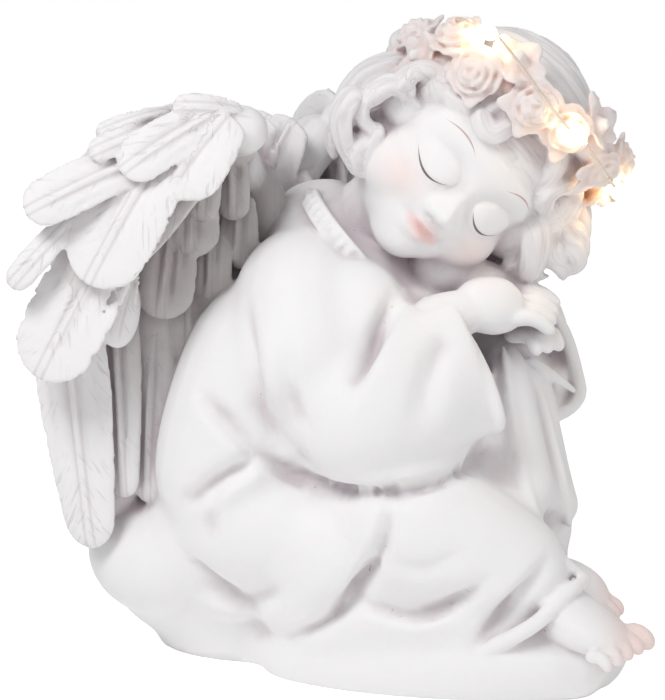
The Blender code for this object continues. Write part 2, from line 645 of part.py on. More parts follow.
def dressed_head():
    clay = bmesh.new()
    skull(clay)
    bare = joined([fused(clay, CLAY_GRAIN * 0.7, 8, web=4)])
    features(bare)
    bare = fused(bare, CLAY_GRAIN * 0.6, 2)
    clay = bmesh.new()
    hair(clay)
    wreath(clay)
    return [bare, fused(clay, CLAY_GRAIN * 0.6, 1)]


# Wings


# Feathers of one wing: root, tip, half width and how many layers it lies above the rest
CANOPY_FEATHERS = (
    ((-70, -29, 142), (-92, -37, 119), 4.6, -1), ((-57, -19, 126), (-62.6, -21, 104), 3.6, -1),
    ((-58, -24, 142), (-85.0, -33, 92), 13.0, 0), ((-46, -24, 168), (-67, -33, 162), 3.6, -1),
    ((-48, -25, 164), (-69, -35, 157), 4.0, 0), ((-50, -27, 157), (-87, -38, 141), 7.6, 0.6),
    ((-44, -26, 165), (-69.8, -35, 120), 13.0, 1.2), ((-34, -24, 168), (-60, -33, 152), 7.5, 1.8),
    ((-30, -23, 168), (-47.5, -31, 145.5), 12.0, 2.4), ((-26, -20, 168), (-45.6, -26, 170), 4.0, 2.0),
)
COVERTS = (
    ((-24, -2, 124), (-26, -5, 98), 6.5, 0), ((-33, -5, 120), (-33, -7, 94), 7.0, 0),
    ((-42, -7, 118), (-42, -10, 92), 6.5, 0), ((-36, -7, 132), (-36.3, -9, 109.5), 7.4, 0.4),
    ((-27, -6, 142), (-28, -8, 120), 6.4, 0.8), ((-29, -9, 156), (-29, -11, 135), 5.4, 1.8),
    ((-59.5, -15, 127), (-61.4, -18, 115), 3.0, 0), ((-47, -11, 138), (-50.5, -14, 106), 10.0, 0.6),
    ((-41, -11, 148), (-41.5, -14, 124.5), 9.2, 1.6), ((-36, -13, 158), (-38.2, -15, 136), 5.6, 2.6),
)
LONG_FEATHERS = (
    ((-34, 1, 100), (-37, -1, 62), 7.0, 0), ((-44, -2, 106), (-46, -4, 52), 7.0, 0),
    ((-52, -6, 112), (-55.5, -8, 49), 7.0, 0.4), ((-64, -9, 112), (-62, -12, 51.5), 7.4, 0.4),
    ((-79, -12, 112), (-74.5, -14, 38), 11.0, 0.8),
)
BACK_FEATHERS = (
    (-72, 92, 46, 13), (-58, 74, 52, 13), (-44, 66, 54, 13), (-33, 74, 52, 12), (-69, 52, 40, 11),
    (-55, 42, 42, 12), (-41, 46, 40, 11), (-58, 112, 38, 13), (-42, 106, 40, 14), (-30, 114, 34, 11),
    (-44, 136, 28, 12), (-30, 138, 26, 11),
)


def wing(clay, carry):
    """One wing as layers of feathers. Carry puts a point of the near wing in place, or turns a direction."""
    view = unit((-0.25, -0.95, 0.15))

    def vane(path, width, thick):
        length = np.linalg.norm(np.subtract(path[-1], path[0]))
        roll(clay, [carry(p) for p in path], [width * 0.66, width * 0.9, width, width * 0.9], [thick] * 4,
             carry(view, True), sides=18, rings=18, caps=(0.1, min(0.45, 0.75 * width / length)))

    def sheet(path, widths, thick):
        roll(clay, [carry(p) for p in path], widths, [thick] * 4, carry(view, True), sides=18, rings=18)

    # Inner sheets, from the back out to the long feathers, and the bent canopy with its outer edge
    sheet([(-20, 3, 150), (-34, 4, 118), (-46, 4, 84), (-52, 1, 58)], [12, 18, 18, 15], 7.0)
    sheet([(-30, 0, 156), (-50, -1, 125), (-64, -3, 88), (-69, -4, 50)], [9, 15, 15, 12], 7.0)
    sheet([(-30, -10, 161), (-54, -14, 146), (-71, -16, 124), (-79, -17, 100)], [6, 8, 8, 7], 8)
    sheet([(-27, -19, 162), (-45, -23, 156), (-61, -28, 142), (-75, -30, 116)], [9, 15, 18, 12], 3.2)
    # The arm of the wing, from the shoulder up to the wrist
    arm = [(-16, 7, 126), (-24, 4, 142), (-29, -7, 154), (-28, -14, 160)]
    limb(clay, [carry(p) for p in arm], [9, 7, 7, 7.5])
    ball(clay, carry((-27, -18, 162)), (8.5, 8, 7.5))
    for feathers, thick in ((LONG_FEATHERS, 2.2), (COVERTS, 1.9), (CANOPY_FEATHERS, 1.5)):
        for root, tip, width, layer in feathers:
            lift = np.array([0, -1.3 * layer, 0])
            root, tip = np.array(root) + lift, np.array(tip) + lift
            vane([root, (root + tip) / 2 + (0, -1.8, 0.8), tip], width, thick)
    # Back of the wing, plainer
    for x, z, length, width in BACK_FEATHERS:
        path = (x + 9, 4, z + length), (x + 4, 9, z + length / 2), (x, 10, z)
        vane([np.array(p) for p in path], width, 1.8)


def near_wing(point, direction=False):
    return np.asarray(point, float)


def far_wing(point, direction=False):
    """The near wing's point or direction, seen in the figure's plane of symmetry."""
    point = np.asarray(point, float)
    if direction:
        return point - 2 * point.dot(FIGURE_LEFT) * FIGURE_LEFT
    return point - 2 * (point - SPINE).dot(FIGURE_LEFT) * FIGURE_LEFT - (0, 0, 3)


def wings():
    clay = bmesh.new()
    wing(clay, near_wing)
    wing(clay, far_wing)
    return fused(clay, CLAY_GRAIN * 0.8, 1)


def extremities():
    clay = bmesh.new()
    hands(clay)
    feet(clay)
    return fused(clay, CLAY_GRAIN * 0.6, 2)


def one_body(clay):
    """Drops every shell but the largest."""
    left = set(clay.verts)
    shells = []
    while left:
        shell, edge = set(), [left.pop()]
        while edge:
            vertex = edge.pop()
            shell.add(vertex)
            for link in vertex.link_edges:
                other = link.other_vert(vertex)
                if other in left:
                    left.remove(other)
                    edge.append(other)
        shells.append(shell)
    shells.sort(key=len)
    for shell in shells[:-1]:
        bmesh.ops.delete(clay, geom=list(shell), context="VERTS")


def levelled(clay):
    """Cuts the clay off flat at the height of the table, and closes it there."""
    everything = clay.verts[:] + clay.edges[:] + clay.faces[:]
    bmesh.ops.bisect_plane(clay, geom=everything, plane_co=(0, 0, 0), plane_no=(0, 0, 1), clear_inner=True)
    one_body(clay)
    rim = [e for e in clay.edges if e.is_boundary]
    bmesh.ops.contextual_create(clay, geom=rim)
    bmesh.ops.recalc_face_normals(clay, faces=clay.faces[:])
    bmesh.ops.triangulate(clay, faces=clay.faces[:])


def casting():
    """The whole figurine but its lights, as one closed bmesh of few triangles."""
    clay = joined([robed_body(), extremities(), wings()] + dressed_head())
    mesh = fused(clay, CLAY_GRAIN * 0.6, 1)
    obj = helper("fine", mesh)
    thin = obj.modifiers.new("Thin", "DECIMATE")
    thin.ratio = CAST_TRIANGLES / sum(len(p.vertices) - 2 for p in mesh.polygons)
    clay = joined([evaluated(obj)])
    levelled(clay)
    return clay


# The light string


def to_mesh(clay, name):
    mesh = bpy.data.meshes.new(name)
    clay.to_mesh(mesh)
    clay.free()
    return mesh


def drop(centre, way):
    """One light: a drop of clear resin on the wire."""
    clay = bmesh.new()
    half = DROP_DIAMETER / UNIT / 2
    across = unit(np.cross(way, (0.3, 0.2, 1)))
    radii = (half, half, DROP_LENGTH / UNIT / 2)
    ball(clay, centre, radii, (across, np.cross(way, across), way), sides=12, rings=8)
    return clay


def clear_of(tree, clay):
    """Whether the clay crosses no face of the casting, and its vertices lie outside by the fitting gap."""
    if BVHTree.FromBMesh(clay).overlap(tree):
        return False
    for vertex in clay.verts:
        near, normal, _, distance = tree.find_nearest(vertex.co)
        if distance < FIT_GAP or (vertex.co - near).dot(normal) < 0:
            return False
    return True


def surface_under(tree, point, up):
    """Where the casting is met coming down to a point from outside."""
    hit = tree.ray_cast(Vector((point + up * 40) * UNIT), Vector(-up))[0]
    return None if hit is None else np.array(hit) / UNIT


def taut(heights):
    """The line of a wire stretched over the heights along its way."""
    count = len(heights)
    line = np.array(heights, float)
    for i in range(count):
        for j in range(i + 1, count):
            share = np.linspace(0, 1, j - i + 1)
            line[i:j + 1] = np.maximum(line[i:j + 1], heights[i] * (1 - share) + heights[j] * share)
    return line


def tube(clay, path, half, sides=6, rings=15):
    """A round wire along a path, cut off square at both ends."""
    lump, points = fresh_ball(sides, rings)
    share = np.arccos(np.clip(-points[:, 2], -1, 1)) / math.pi
    share = np.clip((share * rings - 1) / (rings - 2), 0, 1)
    turn = np.arctan2(points[:, 1], points[:, 0])
    size = half * (np.hypot(points[:, 0], points[:, 1]) > 0.01)
    ahead = along(path, np.minimum(share + 0.01, 1)) - along(path, np.maximum(share - 0.01, 0))
    ahead /= np.linalg.norm(ahead, axis=1)[:, None]
    out = np.array([(0.1, -1, 0.2)]) - ahead * (ahead @ (0.1, -1, 0.2))[:, None]
    out /= np.linalg.norm(out, axis=1)[:, None]
    side = np.cross(out, ahead)
    spoke = side * (size * np.cos(turn))[:, None] + out * (size * np.sin(turn))[:, None]
    add(clay, lump, along(path, share) + spoke)


def wire(tree, start, end, first_up, last_up):
    """A wire from start to end, stretched over whatever stands between."""
    half = WIRE_DIAMETER / UNIT / 2
    share = np.linspace(0, 1, 15)
    ups = [unit(first_up * (1 - f) + last_up * f) for f in share]
    straight = [start * (1 - f) + end * f for f in share]
    heights = np.zeros(15)
    for i in range(1, 14):
        below = surface_under(tree, straight[i], ups[i])
        if below is not None:
            heights[i] = max(0, (below - straight[i]) @ ups[i] + WIRE_LIFT / UNIT)
    for extra in range(12):
        rise = taut(heights) + extra * 0.4 * np.sin(share * math.pi)
        clay = bmesh.new()
        path = [point + up * h for point, up, h in zip(straight, ups, rise)]
        tube(clay, path, half)
        if clear_of(tree, clay):
            return clay
        if extra < 11:
            clay.free()
    return clay


def light_string(tree):
    """Drops on the wreath, and the wires that run from one to the next and down between the petals."""
    nodes = []
    lights = []
    half = (DROP_LENGTH / 2 + FIT_GAP) / UNIT
    for i, angle in enumerate(LIGHT_ANGLES):
        centre, out, ahead = wreath_frame(angle)
        up = unit(head_way(out * 0.8 - np.cross(out, ahead) * LIGHT_LEANS[i]))
        way = unit(head_way(ahead))
        centre = centre + np.cross(out, ahead) * LIGHT_SHIFTS[i]
        place = surface_under(tree, head(centre), up) + up * DROP_DIAMETER / UNIT / 2
        body = drop(place, way)
        while not clear_of(tree, body):
            body.free()
            place = place + up * 0.2
            body = drop(place, way)
        nodes.append(("led_drop_%d" % (i + 1), body))
        lights.append((place, way, up))
    for i, (first, second) in enumerate(zip(lights, lights[1:])):
        body = wire(tree, first[0] + first[1] * half, second[0] - second[1] * half, first[2], second[2])
        nodes.append(("light_wire_%d" % (i + 2), body))
    for name, (place, way, up), sign, reach in (("light_wire_1", lights[0], -1, FIRST_TAIL_LENGTH),
                                                ("light_wire_4", lights[-1], 1, LAST_TAIL_LENGTH)):
        start = place + way * half * sign
        for share in (1.0, 0.85, 0.7, 0.55, 0.4):
            end = surface_under(tree, start + way * sign * reach * share / UNIT - up * 2, up)
            if end is None:
                continue
            body = wire(tree, start, end + up * (WIRE_DIAMETER / 2 + 1.5 * FIT_GAP) / UNIT, up, up)
            if clear_of(tree, body):
                break
        nodes.append((name, body))
    return nodes


# The finished object


def painted(name, colour, roughness, emission=0.0, transmission=0.0):
    material = bpy.data.materials.new(name)
    material.use_nodes = True
    shader = material.node_tree.nodes["Principled BSDF"]
    shader.inputs["Base Color"].default_value = (*colour, 1)
    shader.inputs["Roughness"].default_value = roughness
    shader.inputs["Emission Color"].default_value = (*colour, 1)
    shader.inputs["Emission Strength"].default_value = emission
    shader.inputs["Transmission Weight"].default_value = transmission
    return material


def main():
    for obj in list(bpy.data.objects):
        bpy.data.objects.remove(obj)
    clay = casting()
    clay.normal_update()
    tree = BVHTree.FromBMesh(clay)
    nodes = [("angel", clay)] + light_string(tree)
    corners = np.array([v.co for _, body in nodes for v in body.verts])
    low, high = corners.min(0), corners.max(0)
    size = HEIGHT / high[2]
    shift = Vector((-(low[0] + high[0]) / 2, -(low[1] + high[1]) / 2, 0))
    figurine = bpy.data.collections.new("led_angel_figurine")
    bpy.context.scene.collection.children.link(figurine)
    for name, body in nodes:
        for vertex in body.verts:
            vertex.co = (vertex.co + shift) * size
        obj = bpy.data.objects.new(name, to_mesh(body, name))
        if name == "angel":
            obj.data.materials.append(painted("white_cast_resin", (0.86, 0.84, 0.85), 0.5))
        elif name.startswith("led"):
            obj.data.materials.append(painted(name + "_clear_resin", (1.0, 0.78, 0.45), 0.15, emission=4.0))
        else:
            obj.data.materials.append(painted(name + "_enamelled_copper", (0.80, 0.55, 0.38), 0.3))
        figurine.objects.link(obj)
        print(name, len(obj.data.polygons))
    print("size", [round(float(x), 5) for x in (high - low) * size])
    print("shift", [round(float(x), 6) for x in shift], "scale", round(float(size), 6))


main()
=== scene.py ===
"""Looks of a seated angel figurine: a painted resin casting with a string of micro lights in its wreath."""

import math

import bmesh
import bpy
import numpy as np
from mathutils import Matrix, Vector
from mathutils.bvhtree import BVHTree
from mathutils.kdtree import KDTree


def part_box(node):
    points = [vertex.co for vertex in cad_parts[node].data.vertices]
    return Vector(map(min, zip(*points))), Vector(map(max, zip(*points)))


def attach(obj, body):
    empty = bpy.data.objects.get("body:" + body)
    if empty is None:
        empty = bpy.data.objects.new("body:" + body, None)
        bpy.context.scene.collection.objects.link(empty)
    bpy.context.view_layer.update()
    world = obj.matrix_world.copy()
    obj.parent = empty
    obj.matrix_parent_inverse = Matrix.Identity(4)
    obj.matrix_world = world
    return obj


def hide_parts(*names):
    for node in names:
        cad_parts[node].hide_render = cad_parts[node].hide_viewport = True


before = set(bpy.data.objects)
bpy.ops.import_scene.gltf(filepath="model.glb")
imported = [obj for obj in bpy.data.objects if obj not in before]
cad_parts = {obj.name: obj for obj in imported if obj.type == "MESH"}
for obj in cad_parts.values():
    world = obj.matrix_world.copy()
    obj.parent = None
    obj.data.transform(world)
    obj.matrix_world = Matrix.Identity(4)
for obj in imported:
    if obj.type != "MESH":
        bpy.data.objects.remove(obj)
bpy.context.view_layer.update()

bl_info = {
    "name": "Sleeping Angel Figurine",
    "version": (1, 0, 0),
    "blender": (4, 5, 0),
    "location": "3D View > Sidebar > Figurine",
    "description": "Models and finishes a resin angel with a lit wreath",
    "category": "Add Mesh",
}

# The casting is carved in units of one two-hundredth of its height, then placed in the part's frame
UNIT = 0.001
SHIFT = np.array([0.000104, -0.020317, 0.0])
SCALE = 1.024042

# The way the front of the figurine is looked at, and the way it is seen from
VIEW_ELEVATION = math.radians(11)
SEEN = (0, math.cos(VIEW_ELEVATION), -math.sin(VIEW_ELEVATION))

# The head: its centre and its own axes, in carving units
HEAD_CENTRE = np.array([37.5, -5.0, 153.5])
HEAD_UP = np.array([0.760, -0.096, 0.639])
HEAD_FORWARD = np.array([0.08, -0.966, -0.24])

# Size of the face's features against the head's own units, and their places: an infant's, with the eyes at
# mid height of the head and one eye's width apart
FACE_SIZE = 1.12
EYE_SIDE = 10.6
EYE_HEIGHT = -2.0
EYE_HALF_WIDTH = 6.6
LID_HEIGHT = 4.4
NOSE_HEIGHT = -9.2
MOUTH_HEIGHT = -16.2
MOUTH_HALF_WIDTH = 5.6
CHIN_HEIGHT = -23.5
BROW_HEIGHT = 6.6

# The hair: an egg round the head, in the head's axes
HAIR_CENTRE = np.array([-4.0, 0.0, 10.0])
HAIR_RADII = np.array([33.0, 31.5, 33.5])

# The wreath: a ring on the head, leaning back from its up axis
WREATH_CENTRE = (-3.0, 1.0, 17.0)
WREATH_RADIUS = 34.5
WREATH_LEAN = math.radians(30)
WREATH_ROLL = math.radians(9)
WREATH_FLOWERS = 21

# The collar: a ring round the neck
COLLAR_CENTRE = np.array([6.5, 0.0, 126.5])
COLLAR_AXIS = np.array([0.74, -0.06, 0.66])
COLLAR_RADIUS = 19.5
COLLAR_DIAMONDS = 42

# The plane of symmetry of the wings: a point of the spine and the way to the figure's left
SPINE = np.array([-19.0, 14.0, 0.0])
FIGURE_LEFT = np.array([0.5, 0.866, 0.0])

# Steps of the surface, in carving units, while the robe and the finer parts are worked on their own
ROBE_GRAIN = 1.0
FINE_GRAIN = 0.5

# Kinds of lump whose run the finish follows
FEATHER, LOCK, INNER_FEATHER, PETAL = 1, 2, 3, 4

# The run of a lump and the distance across it are kept as shares of this many carving units
RUN_SPAN = 200.0

# Rays that feel for the sky over a point, how far they reach and how far off the surface they start
SKY_RAYS = 22
SKY_REACH = 0.030
SKY_LIFT = 0.0004

# How far a point lies below its near and its wider surroundings where the darkening is full, in metres: the
# near depth marks the cuts that hold the wash, the wider depth marks broad hollows where shade is painted in
FINE_RECESS = 0.0003
BROAD_RECESS = 0.004


class CastingSizes(bpy.types.PropertyGroup):
    grain: bpy.props.FloatProperty(
        name="Grain", description="Finest step of the carved surface", default=0.00055, unit="LENGTH")
    triangles: bpy.props.IntProperty(
        name="Triangles", description="Triangles of the finished casting", default=190000)
    feather_cut: bpy.props.FloatProperty(
        name="Feather cut", description="Depth of the grooves in a feather", default=0.0012, unit="LENGTH")
    hair_cut: bpy.props.FloatProperty(
        name="Hair cut", description="Depth of the grooves in a lock, as a share of its width", default=0.26)
    light_reach: bpy.props.FloatProperty(
        name="Light reach", description="How far a light warms the resin round it", default=0.0075,
        unit="LENGTH")


class FinishColours(bpy.types.PropertyGroup):
    resin: bpy.props.FloatVectorProperty(
        name="Resin", description="The white of the casting", default=(0.86, 0.85, 0.855),
        subtype="COLOR", size=3)
    # Mauve grey of the wash in the cuts, also used as painted shade in broad hollows, under the sleeves and
    # between the parts
    wash_and_shade: bpy.props.FloatVectorProperty(
        name="Wash", description="Mauve grey rubbed into the recesses", default=(0.60, 0.545, 0.57),
        subtype="COLOR", size=3)
    # Brown grey painted as shade on the inner feathers of the near wing, under its canopy
    inner_wing_shade: bpy.props.FloatVectorProperty(
        name="Umber", description="Old wash in the hollows of the wings", default=(0.36, 0.315, 0.31),
        subtype="COLOR", size=3)
    dust: bpy.props.FloatVectorProperty(
        name="Dust", description="Dark specks left in the deepest cuts", default=(0.16, 0.13, 0.14),
        subtype="COLOR", size=3)
    blush: bpy.props.FloatVectorProperty(
        name="Blush", description="Peach on cheeks, fingers and toes", default=(0.90, 0.56, 0.47),
        subtype="COLOR", size=3)
    lips: bpy.props.FloatVectorProperty(
        name="Lips", description="Painted lips", default=(0.80, 0.40, 0.34), subtype="COLOR", size=3)
    lashes: bpy.props.FloatVectorProperty(
        name="Lashes", description="Line of the closed lids", default=(0.10, 0.05, 0.05),
        subtype="COLOR", size=3)
    brows: bpy.props.FloatVectorProperty(
        name="Brows", description="Thin painted brows", default=(0.42, 0.20, 0.17), subtype="COLOR", size=3)
    light: bpy.props.FloatVectorProperty(
        name="Light", description="Warm white of the micro lights", default=(1.0, 0.72, 0.36),
        subtype="COLOR", size=3)
    wire: bpy.props.FloatVectorProperty(
        name="Wire", description="Lacquered copper wire", default=(0.86, 0.68, 0.52), subtype="COLOR", size=3)


class StageSettings(bpy.types.PropertyGroup):
    floor: bpy.props.FloatVectorProperty(
        name="Floor", description="Pale floor", default=(0.93, 0.93, 0.93), subtype="COLOR", size=3)
    distance: bpy.props.FloatProperty(
        name="Distance", description="From the camera to the figurine", default=0.8, unit="LENGTH")
    lens: bpy.props.FloatProperty(name="Lens", description="Focal length in millimetres", default=137.1)
    whiteness: bpy.props.FloatProperty(
        name="Whiteness", description="How white the floor looks", default=0.62)
    daylight: bpy.props.FloatProperty(name="Daylight", description="Strength of the white sky", default=0.40)
    key: bpy.props.FloatProperty(name="Key", description="Watts of the large soft light", default=4.2)


def unit(v):
    v = np.asarray(v, float)
    return v / np.linalg.norm(v)


UP = unit(HEAD_UP)
FORWARD = unit(HEAD_FORWARD - UP * HEAD_FORWARD.dot(UP))
LEFT = np.cross(UP, FORWARD)
HEAD_AXES = np.array([FORWARD, LEFT, UP])


def along(stations, t):
    """Points at shares t of a smooth curve through the stations."""
    stations = np.asarray(stations, float).reshape(len(stations), -1)
    first = 2 * stations[0] - stations[1]
    last = 2 * stations[-1] - stations[-2]
    p = np.vstack([first, stations, last])
    place = np.clip(np.asarray(t, float), 0, 1) * (len(stations) - 1)
    i = np.minimum(place.astype(int), len(stations) - 2)
    f = (place - i)[:, None]
    a, b, c, d = p[i], p[i + 1], p[i + 2], p[i + 3]
    return 0.5 * (2 * b + (c - a) * f + (2 * a - 5 * b + 4 * c - d) * f**2 + (3 * b - a - 3 * c + d) * f**3)


class Grain:
    """Which way the feathers and locks run, kept from the clay for the finish to follow."""

    def __init__(self):
        self.samples = []

    def note(self, kind, points, ahead, side, run, across, half):
        """Keeps points with their way along and across, and how far along and across they lie."""
        rows = [points, ahead, side, np.column_stack([run, across, half, np.full(len(run), kind)])]
        self.samples.append(np.hstack(rows))

    def read(self, points, reach=2.4):
        """At each point, the kind, the run, the distance across and its share of the half width."""
        kept = np.vstack(self.samples)
        tree = KDTree(len(kept))
        for i, row in enumerate(kept):
            tree.insert(row[:3], i)
        tree.balance()
        found = [tree.find(point) for point in points]
        rows = kept[[f[1] for f in found]]
        offset = points - rows[:, :3]
        run = rows[:, 9] + (offset * rows[:, 3:6]).sum(1)
        across = rows[:, 10] + (offset * rows[:, 6:9]).sum(1)
        near = np.array([f[2] for f in found]) < reach
        return rows[:, 12] * near, run, across, np.abs(across) / rows[:, 11]


GRAIN = Grain()


# Clay: lumps that start as balls and are pushed into shape


def fresh_ball(sides, rings):
    """A unit ball of clay, and the coordinates of its vertices."""
    lump = bmesh.new()
    bmesh.ops.create_uvsphere(lump, u_segments=sides, v_segments=rings, radius=1.0)
    return lump, np.array([v.co for v in lump.verts])


def add(clay, lump, points):
    """Moves a lump's vertices to the points and puts it with the clay."""
    mesh = bpy.data.meshes.new("lump")
    lump.to_mesh(mesh)
    lump.free()
    mesh.vertices.foreach_set("co", (np.asarray(points) * UNIT).ravel())
    clay.from_mesh(mesh)
    bpy.data.meshes.remove(mesh)


def ball(clay, centre, radii, axes=None, sides=24, rings=16):
    """An egg of clay. Axes are the directions of its three radii."""
    lump, points = fresh_ball(sides, rings)
    axes = np.eye(3) if axes is None else np.array([unit(a) for a in axes])
    add(clay, lump, np.asarray(centre, float) + (points * radii) @ axes)


def roll(clay, path, across, through, facing, sides=18, rings=22, caps=None, relief=None, etch=None, grain=0):
    """Clay rolled out along a path, with rounded ends.

    Half widths lie across the way it faces and half depths along it. Relief swells the section. Etch moves
    its two faces in or out, by the share of the length, the distance from the middle line and the face. Grain
    is the kind of lump whose run the finish follows."""
    lump, points = fresh_ball(sides, rings)
    share = (1 + points[:, 2]) / 2
    turn = np.arctan2(points[:, 1], points[:, 0])
    length = np.linalg.norm(np.diff(along(path, np.linspace(0, 1, 20)), axis=0), axis=1).sum()
    if caps is None:
        ends = max(across[0], across[1]), max(across[-1], across[-2])
        caps = [min(max(1.1 * end / length, 0.06), 0.5) for end in ends]
    spine = along(path, share)
    ahead = along(path, np.minimum(share + 0.01, 1)) - along(path, np.maximum(share - 0.01, 0))
    ahead /= np.linalg.norm(ahead, axis=1)[:, None]
    if np.ndim(facing) == 2:
        facing = along(facing, share)
    else:
        facing = np.tile(np.asarray(facing, float), (len(share), 1))
    out = facing - ahead * (facing * ahead).sum(1)[:, None]
    out /= np.linalg.norm(out, axis=1)[:, None]
    side = np.cross(out, ahead)
    inner = np.clip(np.minimum(share / caps[0], (1 - share) / caps[1]), 0, 1)
    size = np.sqrt(1 - (1 - inner) ** 2)
    if relief:
        size = size * relief(share, turn)
    wide = along(across, share)[:, 0] * size * np.cos(turn)
    deep = along(through, share)[:, 0] * size * np.sin(turn)
    if etch:
        deep = deep + etch(share, wide, np.sin(turn)) * np.clip(size * 1.5 - 0.3, 0, 1)
    placed = spine + side * wide[:, None] + out * deep[:, None]
    if grain:
        GRAIN.note(grain, placed, ahead, side, share * length, wide, along(across, share)[:, 0])
    add(clay, lump, placed)


def limb(clay, path, radii, **more):
    roll(clay, path, radii, radii, (0, -1, 0.05), **more)


def to_mesh(clay, name):
    mesh = bpy.data.meshes.new(name)
    clay.to_mesh(mesh)
    clay.free()
    return mesh


def evaluated(obj):
    """The object's mesh with its modifiers applied, and the object removed."""
    bpy.context.view_layer.update()
    graph = bpy.context.evaluated_depsgraph_get()
    mesh = bpy.data.meshes.new_from_object(obj.evaluated_get(graph))
    bpy.data.objects.remove(obj)
    return mesh


def helper(name, mesh):
    obj = bpy.data.objects.new(name, mesh)
    bpy.context.scene.collection.objects.link(obj)
    return obj


def remesh(obj, grain):
    skin = obj.modifiers.new("Skin", "REMESH")
    skin.mode = "VOXEL"
    skin.voxel_size = grain * UNIT


def soften(obj, turns):
    if turns:
        smooth = obj.modifiers.new("Soften", "SMOOTH")
        smooth.factor = 0.5
        smooth.iterations = turns


def displace(obj, distance):
    grow = obj.modifiers.new("Grow", "DISPLACE")
    grow.strength = distance * UNIT
    grow.mid_level = 0


def fused(clay, grain, softness, web=0):
    """The lumps of clay as one skin, softened where they meet. A web fills the creases under that width."""
    obj = helper("lumps", to_mesh(clay, "lumps"))
    remesh(obj, grain)
    if web:
        displace(obj, web)
        remesh(obj, grain)
        soften(obj, softness)
        displace(obj, -web)
    else:
        soften(obj, softness)
    return evaluated(obj)


def joined(meshes):
    """Several meshes as one bmesh."""
    clay = bmesh.new()
    for mesh in meshes:
        clay.from_mesh(mesh)
        bpy.data.meshes.remove(mesh)
    return clay


def bump(distance, width):
    return np.exp(-((distance / width) ** 2))


def read(mesh, name):
    """The coordinates or normals of a mesh's vertices."""
    values = np.zeros(len(mesh.vertices) * 3)
    mesh.vertices.foreach_get(name, values)
    return values.reshape(-1, 3)


class Skin:
    """A mesh's points and normals, to be carved."""

    def __init__(self, mesh):
        self.mesh = mesh
        self.points = read(mesh, "co") / UNIT
        self.normals = read(mesh, "normal")
        corners = [p.vertices[:] for p in mesh.polygons]
        self.tree = BVHTree.FromPolygons([Vector(p) for p in self.points], corners)

    def onto(self, points, toward):
        """Where rays through the points, along toward, first meet the surface."""
        found = []
        for point in points:
            start = Vector(point) - Vector(toward) * 300
            hit = self.tree.ray_cast(start, Vector(toward))[0]
            if hit is not None:
                found.append(hit)
        return np.array(found)

    def stroke(self, path, width, depth, lean):
        """Raises (depth above 0) or cuts the surface along a path seen from the front, fading at both ends.

        Lean above 0 lets the left bank of the stroke, as it runs, rise gently over that many widths."""
        path = np.array([(x, 0, z) for x, z in path], float)
        line = self.onto(along(path, np.linspace(0, 1, 28)), SEEN)
        if not len(line):
            return
        for _ in range(8):
            line[1:-1] = line[1:-1] / 2 + (line[:-2] + line[2:]) / 4
        reach = (3 + 3 * abs(lean)) * width
        low, high = line.min(0) - reach, line.max(0) + reach
        near = np.where(((self.points > low) & (self.points < high)).all(1))[0]
        away = np.full(len(near), 1e9)
        at = np.zeros(len(near), int)
        for i, point in enumerate(line):
            d = np.linalg.norm(self.points[near] - point, axis=1)
            closer = d < away
            away[closer], at[closer] = d[closer], i
        fade = np.clip(np.sin(np.clip(at / max(len(line) - 1, 1), 0.02, 0.98) * math.pi), 0, 1) ** 0.5
        move = depth * fade * bump(away, width)
        if lean:
            ahead = np.gradient(line, axis=0)
            left = np.cross(ahead, SEEN)
            left /= np.linalg.norm(left, axis=1)[:, None] + 1e-9
            offset = ((self.points[near] - line[at]) * left[at]).sum(1)
            bank = bump(away, width * (1.4 + abs(lean))) * np.clip(offset * np.sign(lean) / width - 0.4, 0, 1)
            move = move - 0.55 * depth * fade * bank
        self.points[near] += self.normals[near] * move[:, None]

    def dent(self, centre, radii, push):
        """Pushes what lies within an egg along push, fading to its edge."""
        away = np.linalg.norm((self.points - centre) / radii, axis=1)
        inside = away < 1
        self.points[inside] += np.outer((1 - away[inside] ** 2) ** 2, push)

    def done(self):
        self.mesh.vertices.foreach_set("co", (self.points * UNIT).ravel())
        self.mesh.update()
        return self.mesh


# The robed body


def robe_masses(clay):
    """Torso and seat under the cloth."""
    facing = (0, -1, 0)
    roll(clay, [(-18, 16, -22), (-18, 16, 6), (-21, 16, 24), (-24, 14, 40), (-24, 12, 60)],
         [30, 38, 47, 47, 32], [24, 30, 36, 36, 28], facing, sides=26, caps=(0.2, 0.5))
    roll(clay, [(-26, 9, 20), (-24, 9, 44), (-22, 10, 66), (-15.5, 10, 87), (-8, 9, 107), (-2, 8, 124),
                (5, 4, 143)],
         [24, 28, 28, 27, 25, 21, 15], [28, 31, 31, 31, 30, 27, 15], facing, sides=26, rings=24,
         caps=(0.2, 0.1))
    # Side of the body, level with the arm that hangs over it
    limb(clay, [(-13, -6, 120), (-22, -12, 98), (-28, -15, 77), (-31, -14, 58), (-28, -10, 40)],
         [15, 20, 22, 22, 20])
    ball(clay, (2, -19, 40), (27, 26, 22), sides=26, rings=18)
    ball(clay, (-49, 6, 31), (26, 27, 21), sides=26, rings=18)


